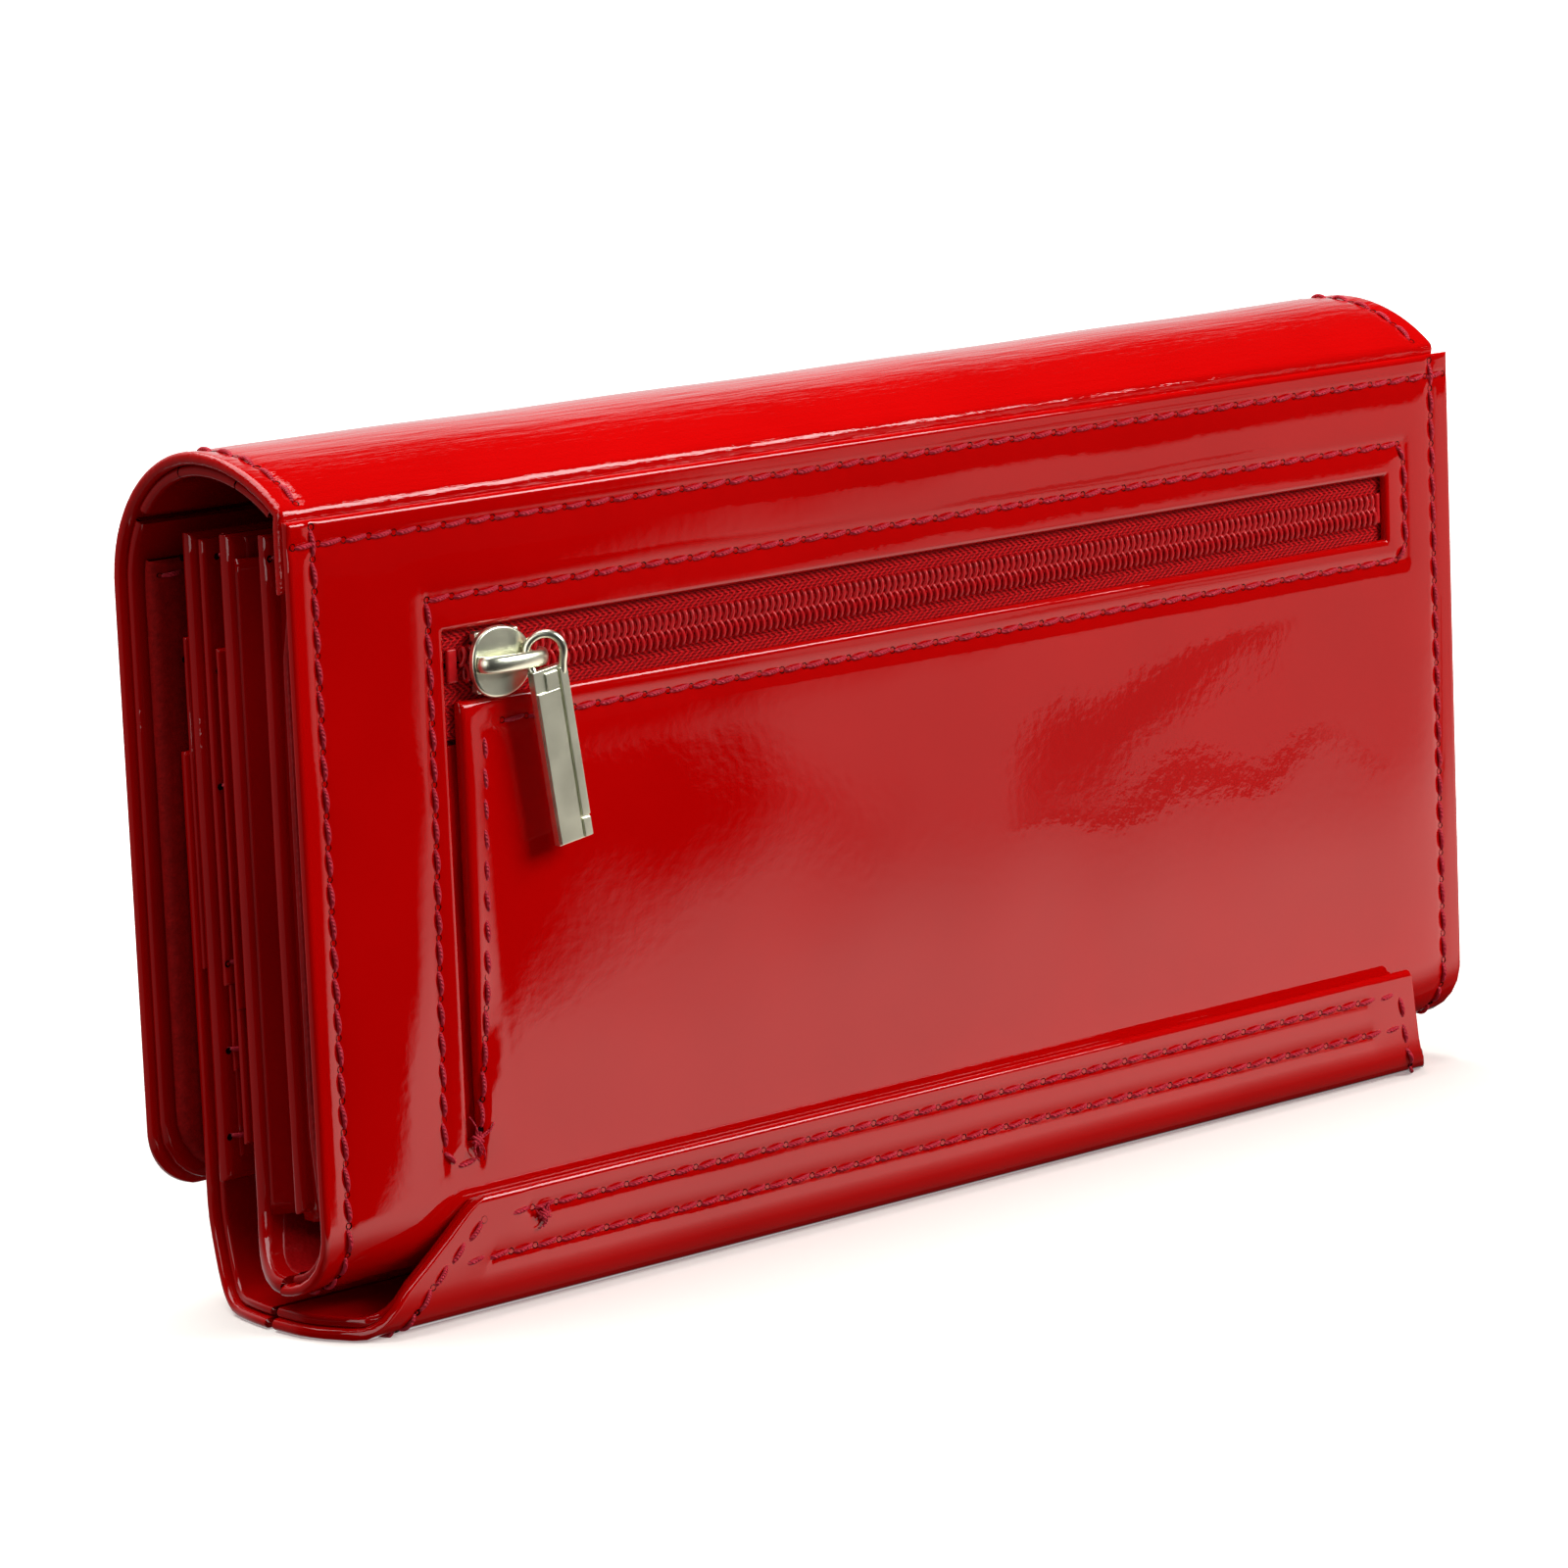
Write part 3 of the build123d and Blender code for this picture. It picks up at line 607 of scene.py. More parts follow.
def tube(points, up, radius, flat=1.0, sides=8):
    """Vertices and faces of a round bar along points; radius may change along it."""
    points = np.asarray(points, float)
    tangent, side, over = frames_along(points, np.broadcast_to(up, points.shape))
    radius = np.broadcast_to(radius, len(points))
    turn = np.linspace(0, 2 * pi, sides, endpoint=False)
    ring = (
        points[:, None]
        + side[:, None] * (np.cos(turn) * radius[:, None])[..., None]
        + over[:, None] * (np.sin(turn) * radius[:, None] * flat)[..., None]
    )
    vertices = ring.reshape(-1, 3)
    faces = []
    for i in range(len(points) - 1):
        for k in range(sides):
            a, b = i * sides + k, i * sides + (k + 1) % sides
            faces.append([a, b, b + sides, a + sides])
    faces.append(list(range(sides))[::-1])
    faces.append([(len(points) - 1) * sides + k for k in range(sides)])
    return vertices, faces


def seam_places(run, pitch=STITCH):
    """Needle holes along a seam's run, evenly spaced from its first point to its last."""
    run = np.array(run, float)
    gaps = np.linalg.norm(np.diff(run, axis=0), axis=1)
    along = np.r_[0, np.cumsum(gaps)]
    count = max(1, int(round(along[-1] / pitch)))
    at = np.linspace(0, along[-1], count + 1)
    return np.stack([np.interp(at, along, run[:, k]) for k in (0, 1)], -1)


def join_parts(*parts):
    """Several (vertices, faces) as one."""
    vertices, faces = [], []
    for v, f in parts:
        offset = len(vertices)
        vertices.extend(v)
        faces.extend([[k + offset for k in q] for q in f])
    return vertices, faces


# how far a stitch stands off the skin from one needle hole to the next
STITCH_RISE = np.array([-0.34, 0.00, 0.19, 0.26, 0.28, 0.26, 0.17, -0.02, -0.34])
SLANT = 0.22
HOLE_SIDES, HOLE_DEEP, HOLE_RIM = 10, -0.12, 0.04
THREAD_SIDES, THREAD_FLAT = 7, 0.85


def stitches(name, path, runs, inset=0.0, relief=None, face=1):
    """Thread and needle holes of some seams, as one piece.  face is -1 on the skin's inner side."""

    def surface(x, s, height):
        base, normal = path.at(s)
        lift = relief(x, s) if relief is not None else 0.0
        p = base + normal * (-inset + face * height + lift)[..., None]
        return np.stack([x, p[..., 0], p[..., 1]], -1), np.insert(normal, 0, 0.0, axis=-1)

    threads, kinds = [], []
    turn = np.linspace(0, 2 * pi, HOLE_SIDES, endpoint=False)
    rim = [[0, 1 + k, 1 + (k + 1) % HOLE_SIDES] for k in range(HOLE_SIDES)]
    t = np.linspace(0.04, 0.96, len(STITCH_RISE))[:, None]
    swell = THREAD * (0.80 + 0.25 * np.sin(np.linspace(0, pi, len(t))))
    for run in runs:
        holes_at = seam_places(run)
        for a, b in zip(holes_at[:-1], holes_at[1:]):
            run_dir = (b - a) / max(np.linalg.norm(b - a), 1e-9)
            across = np.array([-run_dir[1], run_dir[0]])
            wander = SLANT + rng.normal(0, 0.04)
            centre = a + (b - a) * t + across * (0.5 - t) * 2 * wander
            height = STITCH_RISE * (1 + rng.normal(0, 0.08))
            points, normal = surface(centre[:, 0], centre[:, 1], height)
            threads.append(tube(points, normal * face, swell, flat=THREAD_FLAT, sides=THREAD_SIDES))
            kinds.extend([0] * len(threads[-1][1]))
        # each needle hole: a near-black disc, painted shade of the hole
        for x, s in holes_at:
            reach = 0.38 + 0.08 * rng.random()
            ring_x, ring_s = np.r_[x, x + reach * np.cos(turn)], np.r_[s, s + reach * np.sin(turn)]
            points, _ = surface(ring_x, ring_s, np.r_[HOLE_DEEP, np.full(HOLE_SIDES, HOLE_RIM)])
            threads.append((points, rim))
            kinds.extend([1] * HOLE_SIDES)
    vertices, faces = join_parts(*threads)
    return make_object(name, place(vertices), faces, [thread, hole], face_materials=kinds)


def shape_part(name, vertices, faces, material, bevel, segments=3):
    """A hard piece with softened edges."""
    obj = make_object(name, place(vertices), faces, material)
    soften = obj.modifiers.new("soft_edges", "BEVEL")
    soften.width = bevel * MM
    soften.segments = segments
    soften.limit_method = "ANGLE"
    soften.angle_limit = radians(30)
    soften.harden_normals = True
    return obj


def prism(outline, near, far, frame_of=None):
    """Vertices and faces of an outline in (x, height) between two depths."""
    count = len(outline)
    vertices = np.array([(x, depth, height) for depth in (near, far) for x, height in outline], float)
    if frame_of is not None:
        vertices = frame_of(vertices)
    faces = [list(range(count)), [count + k for k in range(count)][::-1]]
    faces.extend([k, count + k, count + (k + 1) % count, (k + 1) % count] for k in range(count))
    return vertices, faces


def block(x0, x1, z0, z1, near, far, frame_of=None):
    return prism([(x0, z0), (x1, z0), (x1, z1), (x0, z1)], near, far, frame_of)


def settle(obj, body=None, bend=None, stands_for=()):
    """Hang a finished piece on its body, or, given a bend, bake its place into its mesh and leave it unhung.
    """
    if bend is not None:
        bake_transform(obj)
    else:
        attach(obj, body)
    if stands_for:
        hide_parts(*stands_for)
    return obj


# ---------------------------------------------------------------- zipped face
def down(height):
    """Length along the body path of a height on the zipped face."""
    return PANEL_TOP - height


fold_under = body_path.nearest(FOLD_RX, PANEL_BOTTOM - FOLD_RZ)
window_hole = (WINDOW[0], WINDOW[1], down(WINDOW[3]), down(WINDOW[2]))
slit_hole = (SLIT[0], SLIT[1], down(WINDOW[2] + 0.001), down(SLIT[2]))
SIDE_SEAM = HALF - 3.5
face_seams = [
    [(-HALF + 0.8, down(91.4)), (HALF - 0.8, down(91.4))],
    [(-SIDE_SEAM, down(93.4)), (-SIDE_SEAM, fold_under)],
    [(SIDE_SEAM, down(93.4)), (SIDE_SEAM, fold_under)],
    [(-76.6, down(83.2)), (86.8, down(83.2)), (86.8, down(68.1)), (-66.5, down(68.1))],
    [(-76.6, down(83.2)), (-76.9, down(60)), (-78.2, down(17.8)), (-73.2, down(17.8))],
    [(-69.3, down(67.0)), (-70.6, down(40)), (-73.0, down(20.0)), (-73.2, down(17.8))],
]
face_relief = seam_relief(face_seams)


def tab_relief(x, s):
    """The padded roll along the slit's right side."""
    height = PANEL_TOP - s
    roll = np.exp(-(((x - SLIT[1] - 1.3) / 1.5) ** 2))
    inside = 1 / (1 + np.exp((height - 70.0) * 2)) / (1 + np.exp((19.5 - height) * 1.2))
    return 0.32 * roll * inside


def panel_relief(x, s):
    """Seams, the padded roll, and an end that leans back a little on the right."""
    return face_relief(x, s) + tab_relief(x, s) - 0.45 * np.clip((x - 83.0) / 13.0, 0, 1) ** 2


panel = skin(
    "zipped_face", body_path, (0, fold_under), HALF, 0.0, PANEL_THICK, patent,
    relief=panel_relief, free=(True, False), step=(2.2, 2.5),
    holes=(window_hole, slit_hole), seams=face_seams[:4],
)
settle(panel, "body", stands_for=("back_panel", "body_bottom_fold"))
settle(stitches("zipped_face_thread", body_path, face_seams, relief=panel_relief), "body")

# the front wall goes on from the fold, with its pockets
wall_start, wall_stop = tuple(place((0, 16.6, 9.0))), tuple(place((0, 18.6, 23.0)))
wall_bend = ("body", "front_pocket_wall", wall_start, wall_stop)
wall_top = body_path.length
wall_seams = [
    [(-INNER_HALF + 3, fold_under + 1), (-INNER_HALF + 3, wall_top - 2.6), (INNER_HALF - 3, wall_top - 2.6),
     (INNER_HALF - 3, fold_under + 1)],
]


def wall_ends(s, shrink=0.0):
    """The fold is as long as the panel, and the front wall a little shorter."""
    reach = (HALF + (INNER_HALF - HALF) * ease(s - fold_under, 14.0)) * (1 - shrink / HALF)
    return -reach, reach


wall = skin(
    "front_wall_skin", body_path, (fold_under, wall_top), HALF, 0.0, PANEL_THICK + LINING - 0.1, shaded_inner_patent,
    relief=seam_relief(wall_seams), free=(False, True), seams=wall_seams, ends=wall_ends,
)
settle(wall, bend=wall_bend, stands_for=("front_wall",))


def fold_lining_sway(x, s):
    """The rear lining stands further in than the panel, past the coin pocket."""
    return -1.25 * np.clip((s - 10.0) / 6.0, 0, 1) * np.clip((down(14.0) - s) / 10.0, 0, 1)


lining_faces = (PANEL_THICK, PANEL_THICK + LINING)
fold_lining = skin(
    "fold_lining", body_path, (1.5, fold_under), HALF - 1.0, *lining_faces, lining,
    free=(True, False), sway=fold_lining_sway,
)
settle(fold_lining, "body", stands_for=("back_lining", "bottom_fold_lining"))
wall_lining = skin(
    "front_wall_lining_skin", body_path, (fold_under, wall_top - 0.4), HALF - 1.0, *lining_faces, lining,
    free=(False, True), ends=lambda s: wall_ends(s, 2.5),
)
settle(wall_lining, bend=wall_bend, stands_for=("front_wall_lining",))

# ---------------------------------------------------------------- zip
def flat_path(depth, low, high, side=1):
    """A straight upward path at one depth whose outer side looks towards the zipped face."""
    return Path(line((depth, low), (depth, high)), side=-side)


for name, low, high in (
    ("zip_tape_upper", ZIP_HEIGHT + 0.3, ZIP_HEIGHT + 8.6),
    ("zip_tape_lower", ZIP_HEIGHT - 8.6, ZIP_HEIGHT - 0.3),
):
    tape_path = flat_path(PANEL_THICK, low, high)
    piece = skin(name + "_cloth", tape_path, (0, high - low), (-78.0, 87.0), 0.0, 0.6, tape, step=(1.0, 3.0))
    settle(piece, "body", stands_for=(name,))

COIL_PITCH = 1.05
COIL_LEFT, COIL_RIGHT = -72.0, 82.0


def coil_row(side):
    """One row of the zip: a flattened helix whose loops reach just past the zip's centre line."""
    turns = int((COIL_RIGHT - COIL_LEFT) / COIL_PITCH)
    steps = 12
    t = np.arange(turns * steps + 1) / steps
    angle = 2 * pi * t
    phase = 0.0 if side > 0 else 0.5
    x = np.minimum(COIL_LEFT + (t + phase) * COIL_PITCH, COIL_RIGHT) + 0.30 * COIL_PITCH * np.sin(angle)
    height = ZIP_HEIGHT + side * (0.93 - 1.03 * np.cos(angle))
    points = np.stack([x, 0.78 - 0.42 * np.sin(angle), height], -1)
    return tube(points, np.array([1.0, 0, 0]), 0.27, sides=7)


for side, node in ((1, "zip_coil_upper"), (-1, "zip_coil_lower")):
    v, f = coil_row(side)
    settle(make_object(node + "_helix", place(v), f, coil), "body", stands_for=(node,))

v, f = join_parts(*(
    block(x - width / 2, x + width / 2, ZIP_HEIGHT - 2.0, ZIP_HEIGHT + 2.0, 0.8, 1.4)
    for x, width in ((-72.85, 1.5), (82.5, 0.8))
))
settle(shape_part("zip_stop_clips", v, f, coil, 0.3), "body", stands_for=("zip_stops",))

# coin pocket behind the zip, and the gusset that shows through the slit
POCKET_REAR, POCKET_FRONT, POCKET_FOOT = 2.0, 2.9, 21.3
pocket_turn = (POCKET_FRONT - POCKET_REAR) / 2
pocket_path = Path(
    line((POCKET_REAR, 71.0), (POCKET_REAR, POCKET_FOOT)),
    arc((POCKET_REAR + pocket_turn, POCKET_FOOT), pocket_turn, pocket_turn, 180, 360),
    line((POCKET_FRONT, POCKET_FOOT), (POCKET_FRONT, 83.6)),
)
pocket = skin(
    "coin_pocket_cloth", pocket_path, (0, pocket_path.length), HALF - 6, 0.0, 0.3, cloth, step=(2.0, 6.0)
)
settle(pocket, "body", stands_for=("coin_pocket_bag",))


def gusset_fold(x, s):
    return 0.12 * np.sin((x + 74) * 1.1) + 0.1 * np.sin(s * 0.35)


SLIT_GUSSET_FOOT, SLIT_GUSSET_TOP = 17.2, 66.0
inset = skin(
    "slit_gusset_skin", flat_path(PANEL_THICK + 0.05, SLIT_GUSSET_FOOT, SLIT_GUSSET_TOP),
    (0, SLIT_GUSSET_TOP - SLIT_GUSSET_FOOT), (-79.0, -67.5), 0.0, 0.5, shaded_inner_patent,
    relief=gusset_fold, step=(2.0, 0.5),
)
settle(inset, "body", stands_for=("slit_gusset",))


TOWARDS_CAMERA = np.array([0, -1.0, 0.01])


def loose_threads():
    """Knotted thread ends at the foot of the slit and beside the strip's left end."""
    parts = []
    for (x, z, depth), reach, count in (
        ((-73.6, 20.4, -0.35), 3.2, 6), ((-66.5, 10.6, -STRIP_PROUD - 0.25), 2.4, 5)
    ):
        for k in range(count):
            angle = radians(200 + 300 * k / count) + rng.normal(0, 0.2)
            size = reach * (0.5 + 0.5 * rng.random())
            t = np.linspace(0, 1, 9)
            turn = angle + rng.normal(0, 0.6) * t
            points = np.stack([
                x + size * t * np.cos(turn), depth - 0.25 * np.sin(pi * t), z + size * t * np.sin(turn)
            ], -1)
            parts.append(tube(points, TOWARDS_CAMERA, 0.13 * (1 - 0.3 * t), sides=6))
        for k in range(4):
            angle = k * pi / 4 + 0.3
            t = np.linspace(-1, 1, 7)
            points = np.stack([
                x + 0.9 * t * np.cos(angle), depth - 0.16 * np.cos(t * pi / 2), z + 0.9 * t * np.sin(angle)
            ], -1)
            parts.append(tube(points, TOWARDS_CAMERA, 0.18, sides=6))
    return join_parts(*parts)


v, f = loose_threads()
settle(make_object("thread_ends", place(v), f, thread), "body")

# ---------------------------------------------------------------- strip, wrap and leaf
wrap_under = wrap_path.nearest(12.0, 0.0)
leaf_start = wrap_path.nearest(LEAF_FAR, WRAP_FRONT)
WRAP_HALF = 95.0

# (length from the strip's top edge, x): the two end edges of the strip and the wrap
LEFT_EDGE = (
    (0.0, -74.6), (0.7, -76.2), (1.6, -77.6), (3.9, -80.4), (6.4, -83.6), (8.9, -87.0),
    (10.4, -88.4), (13.6, -90.6), (16.7, -92.3), (20.5, -94.2), (23.5, -WRAP_HALF), (200.0, -WRAP_HALF),
)
RIGHT_EDGE = (
    (0.0, 82.4), (1.0, 83.0), (10.4, 84.2), (13.6, 86.2), (16.7, 89.0), (20.5, 93.0),
    (23.5, WRAP_HALF), (200.0, WRAP_HALF),
)


def strip_ends(s, shrink=0.0):
    """The strip is cut back at both ends, and the wrap reaches full length under the body."""
    return np.interp(s, *zip(*LEFT_EDGE)) + shrink, np.interp(s, *zip(*RIGHT_EDGE)) - shrink


def strip_edge_run(inset, end):
    """A seam that follows the strip's left end (0) or its right end (1)."""
    return [(float(strip_ends(s)[end]) + inset, float(s)) for s in np.linspace(2.8, 24.0, 9)]


strip_seams = [
    [(-71.5, 2.8), (79.6, 2.8)],
    [(-78.6, 7.3), (80.6, 7.3)],
    strip_edge_run(3.8, 0),
    strip_edge_run(-3.0, 1),
]
strip_relief = seam_relief(strip_seams[:2], depth=0.14)
LEAF_BEND = ("body", "leaf", tuple(place((0, 26.4, 7.5))), tuple(place((0, 27.8, 18.5))))

strip = skin(
    "leaf_strip", wrap_path, (0, wrap_under), WRAP_HALF, 0.0, 1.4, patent,
    relief=strip_relief, free=(True, False), step=(1.6, 2.5), seams=strip_seams[:2], ends=strip_ends,
)
settle(strip, "body", stands_for=("leaf_root_strip", "leaf_bottom_wrap"))
settle(stitches("leaf_strip_thread", wrap_path, strip_seams, relief=strip_relief), "body")

strip_back = skin(
    "leaf_strip_lining", wrap_path, (0.5, wrap_under), WRAP_HALF - 1.0, 1.4, 2.6, shaded_inner_patent,
    free=(True, False), step=(1.6, 3.0), ends=lambda s: strip_ends(s, 0.8),
)
settle(strip_back, "body", stands_for=("leaf_root_lining", "leaf_wrap_lining"))


def leaf_ends(s, share=1.0):
    """The wrap is longer than the leaf that goes on from it."""
    reach = (WRAP_HALF + (INNER_HALF - WRAP_HALF) * ease(s - wrap_under, 20.0)) * share
    return -reach, reach


leaf_slot_top = wrap_path.nearest(LEAF_FAR, 65.6)
leaf_seams = [
    [(-INNER_HALF + 3, wrap_under + 12), (-INNER_HALF + 3, leaf_slot_top)],
    [(INNER_HALF - 3, wrap_under + 12), (INNER_HALF - 3, leaf_slot_top)],
    [(-INNER_HALF + 1, leaf_slot_top - 2.4), (INNER_HALF - 1, leaf_slot_top - 2.4)],
    [(0.0, leaf_slot_top - 50), (0.0, leaf_slot_top)],
]
leaf_relief = seam_relief(leaf_seams)
leaf_skin = skin(
    "leaf_skin", wrap_path, (wrap_under, leaf_slot_top), WRAP_HALF, 0.0, 1.2, patent,
    relief=leaf_relief, free=(False, True), step=(2.0, 3.0), ends=leaf_ends, seams=leaf_seams,
)
settle(leaf_skin, bend=LEAF_BEND, stands_for=("leaf_outer_slot_3",))
leaf_thread = stitches("leaf_skin_thread", wrap_path, leaf_seams, relief=leaf_relief)
settle(leaf_thread, bend=LEAF_BEND)

leaf_back = skin(
    "leaf_wrap_skin", wrap_path, (wrap_under, leaf_start + 12.0), WRAP_HALF - 1.0, 1.4, 2.4, shaded_inner_patent,
    free=(False, True), step=(2.0, 3.0), ends=lambda s: leaf_ends(s, 0.99),
)
settle(leaf_back, bend=LEAF_BEND)


def layer(
    name, low, high, near, far, half, body, node,
    front=True, seams=(), sway=None, slot="patent_leather",
):
    """An upright layer between two depths, its thread on its front or on its side towards the zip."""
    path = flat_path(far if front else near, low, high, side=-1 if front else 1)
    runs = [[(x, z - low) for x, z in run] for run in seams]
    relief = seam_relief(runs, depth=0.14, width=0.7, pillow=0.05) if runs else None
    piece = skin(
        name, path, (0, high - low), half, 0.0, far - near, shaded_inner_patent,
        relief=relief, step=(2.5, 3.0), seams=runs, sway=sway,
    )
    settle(piece, body, stands_for=(node,))

    def sewn(x, s):
        return relief(x, s) + (sway(x, s) if sway else 0)

    if runs:
        settle(stitches(name + "_thread", path, runs, relief=sewn), body)


def top_and_sides(low, high):
    """Seams of a pocket: down both ends and across under its open edge."""
    side = INNER_HALF - 3.0
    return [
        [(-side, low + 1), (-side, high - 0.6)],
        [(side, low + 1), (side, high - 0.6)],
        across_seam(high - 2.6),
    ]


def across_seam(height):
    return [(-INNER_HALF + 0.6, height), (INNER_HALF - 0.6, height)]


BOARD = ("leaf_board", 15.2, 91.0, 23.3, 25.5, INNER_HALF, "leaf", "leaf_core")
layer(*BOARD, slot="board_core")
# name, body, CAD node, thread on the front, foot, top, nearer and farther depth, cut back at each end
POCKETS = (
    ("leaf_card_pocket_1", "leaf", "leaf_outer_slot_1", True, 52.0, 90.6, 25.0, 25.8, 1.4),
    ("leaf_card_pocket_2", "leaf", "leaf_outer_slot_2", True, 40.0, 78.8, 25.8, 26.6, 0.4),
    ("leaf_back_pocket_1", "leaf", "leaf_inner_slot_1", False, 18.0, 54.0, 23.0, 23.8, 2.0),
    ("leaf_back_pocket_2", "leaf", "leaf_inner_slot_2", False, 28.3, 66.0, 22.3, 23.0, 1.4),
    ("leaf_back_pocket_3", "leaf", "leaf_inner_slot_3", False, 38.6, 90.4, 21.5, 22.6, 0.3),
    ("body_card_pocket_1", "front_pocket_wall", "body_card_slot_1", True, 48.0, 91.2, 18.6, 19.4, 1.3),
    ("body_card_pocket_2", "front_pocket_wall", "body_card_slot_2", True, 36.0, 78.0, 19.4, 20.2, 0.2),
    ("body_card_pocket_3", "front_pocket_wall", "body_card_slot_3", True, 20.0, 64.5, 20.2, 21.2, 0.9),
)
for name, body, node, front, low, high, near, far, cut_back in POCKETS:
    seams = top_and_sides(low, high) if front else [across_seam(low + 2.6)]
    layer(name, low, high, near, far, INNER_HALF - cut_back, body, node, front, seams)

DIVIDER_FOOT, DIVIDER_TOP = 13.5, 91.7
WAVES = np.random.default_rng(3).uniform(0, 2 * pi, 3)


def divider_sway(x, s):
    """The divider wanders a little, as a soft sheet does between its ends."""
    t = s / (DIVIDER_TOP - DIVIDER_FOOT)
    long_wave = np.sin(x * 0.045 + WAVES[0]) * np.sin(pi * t)
    short_wave = np.sin(x * 0.11 + WAVES[1]) * np.sin(2 * pi * t + WAVES[2])
    return 0.5 * (0.6 * long_wave + 0.4 * short_wave)


DIVIDER = ("divider_panel", DIVIDER_FOOT, DIVIDER_TOP, 9.5, 11.5, INNER_HALF, "divider_wall", "divider")
layer(*DIVIDER, front=False, seams=[across_seam(89.0)], sway=divider_sway, slot="lining_leather")


# gussets: a sheet at each end that folds in between the rear lining, the divider and the front wall
# (x, depth) of one end's zigzag in plan, from the rear lining to the front wall's lining
GUSSET_PLAN = (
    (92.0, 3.9), (88.0, 5.4), (83.8, 6.7), (88.0, 8.2), (91.0, 9.6), (91.4, 10.5),
    (91.0, 11.4), (88.0, 12.6), (83.8, 13.7), (88.0, 14.9), (91.4, 16.0),
)
GUSSET_FOOT, GUSSET_TOP, GUSSET_THICK = 12.4, 88.5, 0.5


def smoothed(points, count, rounds):
    """Evenly drawn places between some points, with the corners rounded off."""
    points = np.array(points)
    at = np.linspace(0, len(points) - 1, count)
    found = np.stack([np.interp(at, np.arange(len(points)), axis) for axis in points.T], -1)
    for _ in range(rounds):
        found[1:-1] = (found[:-2] + 2 * found[1:-1] + found[2:]) / 4
    return found


def gusset_sheet(name, side):
    """One end's gusset: a folded sheet, with its cut edges all round."""
    plan = smoothed(GUSSET_PLAN, 61, 3)
    share = np.linspace(0, pi, len(plan))
    rows = []
    for z in np.linspace(GUSSET_FOOT, GUSSET_TOP, 52):
        pull = 0.22 * np.sin(z * 0.13 + side)
        foot = max(0.0, (22.0 - z) / 10.0)
        x = plan[:, 0] + pull * np.sin(share) * 0.6 + 1.2 * foot * np.sin(3 * share)
        rows.append(np.stack([side * x, plan[:, 1], np.full(len(plan), z)], -1))
    outer = np.array(rows)
    inner = outer - (side * GUSSET_THICK, 0, 0)
    ids = np.arange(outer.size // 3).reshape(outer.shape[:2])
    over = ids + ids.size
    faces, edges = [], []
    for i, j in np.ndindex(ids.shape[0] - 1, ids.shape[1] - 1):
        corners = ((i, j), (i, j + 1), (i + 1, j + 1), (i + 1, j))
        faces.append([ids[c] for c in corners])
        faces.append([over[c] for c in corners[::-1]])
    last_i, last_j = ids.shape[0] - 1, ids.shape[1] - 1
    for j in range(last_j):
        edges.extend((((0, j), (0, j + 1)), ((last_i, j + 1), (last_i, j))))
    for i in range(last_i):
        edges.extend((((i + 1, 0), (i, 0)), ((i, last_j), (i + 1, last_j))))
    faces.extend([ids[a], over[a], over[b], ids[b]] for a, b in edges)
    faces = [[int(k) for k in (f if side > 0 else f[::-1])] for f in faces]
    vertices = np.concatenate([outer.reshape(-1, 3), inner.reshape(-1, 3)])
    return make_object(name, place(vertices), faces, shaded_inner_patent)


GUSSET_BEND = ("body", "front_pocket_wall", tuple(place((0, 3.7, 50))), tuple(place((0, 17.3, 50))))
GUSSET_NODES = ("gusset_back", "gusset_divider_rear", "gusset_divider_front", "gusset_front")
settle(gusset_sheet("gusset_left", -1), bend=GUSSET_BEND, stands_for=GUSSET_NODES)
settle(gusset_sheet("gusset_right", 1), bend=GUSSET_BEND)

for node in ("leaf_magnet", "flap_magnet"):
    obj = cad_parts[node]
    obj.data.materials.clear()
    obj.data.materials.append(steel)

# ---------------------------------------------------------------- flap
def flap_at(turn):
    return flap_path.nearest(*arch_point(turn))


CUT_TURNS = (71.0, 103.0, 139.5)
flap_cuts = (0.0, *(flap_at(t) for t in CUT_TURNS), flap_path.length)
flap_bends = (
    ("body", "arch_rear", *arch_blend(50, 64)),
    ("arch_rear", "arch_top", *arch_blend(73, 97)),
    ("arch_top", "arch_front", *arch_blend(107, 137)),
    ("arch_front", "flap", *arch_blend(142, 172)),
)
FLAP_CORNER = 7.0
FLAP_MIDDLE = (FLAP_RIGHT - HALF) / 2
FLAP_REACH = (FLAP_RIGHT + HALF) / 2


def flap_ends(s, shrink=0.0):
    """Straight ends with rounded corners at the flap's free edge."""
    left = np.clip(FLAP_CORNER - (flap_path.length - shrink - s), 0, FLAP_CORNER)
    cut = FLAP_CORNER - np.sqrt(np.maximum(FLAP_CORNER ** 2 - left ** 2, 0))
    reach = FLAP_REACH - shrink - cut
    return FLAP_MIDDLE - reach, FLAP_MIDDLE + reach


flap_edge_s = flap_path.length - 3.2
flap_left, flap_right = -HALF + 3.2, FLAP_RIGHT - 3.2
arch_first = flap_path.nearest(*arch_point(52))
flap_outline = [
    (flap_left, flap_cuts[3]), (flap_left, flap_edge_s - 4), (flap_left + 1.2, flap_edge_s - 1.2),
    (flap_left + 4, flap_edge_s), (flap_right - 4, flap_edge_s), (flap_right - 1.2, flap_edge_s - 1.2),
    (flap_right, flap_edge_s - 4), (flap_right, flap_cuts[3]),
]
part_seams = [
    [[(x, max(start, arch_first)), (x, stop)] for x in (flap_left, flap_right)]
    for start, stop in zip(flap_cuts[:3], flap_cuts[1:4])
] + [[flap_outline]]
whole_flap = [[(flap_left, arch_first), *flap_outline, (flap_right, arch_first)]]
flap_relief = seam_relief(whole_flap)
arch_top_s = flap_at(90)


def flap_sway(x, s):
    """The arch sags a little between its ends."""
    middle = np.exp(-(((s - arch_top_s) / 13.0) ** 2))
    return middle * (-0.30 * np.cos(x / HALF * pi / 2) + 0.05 * np.sin(x * 0.16))


def sewn_flap(x, s):
    return flap_relief(x, s) + flap_sway(x, s)


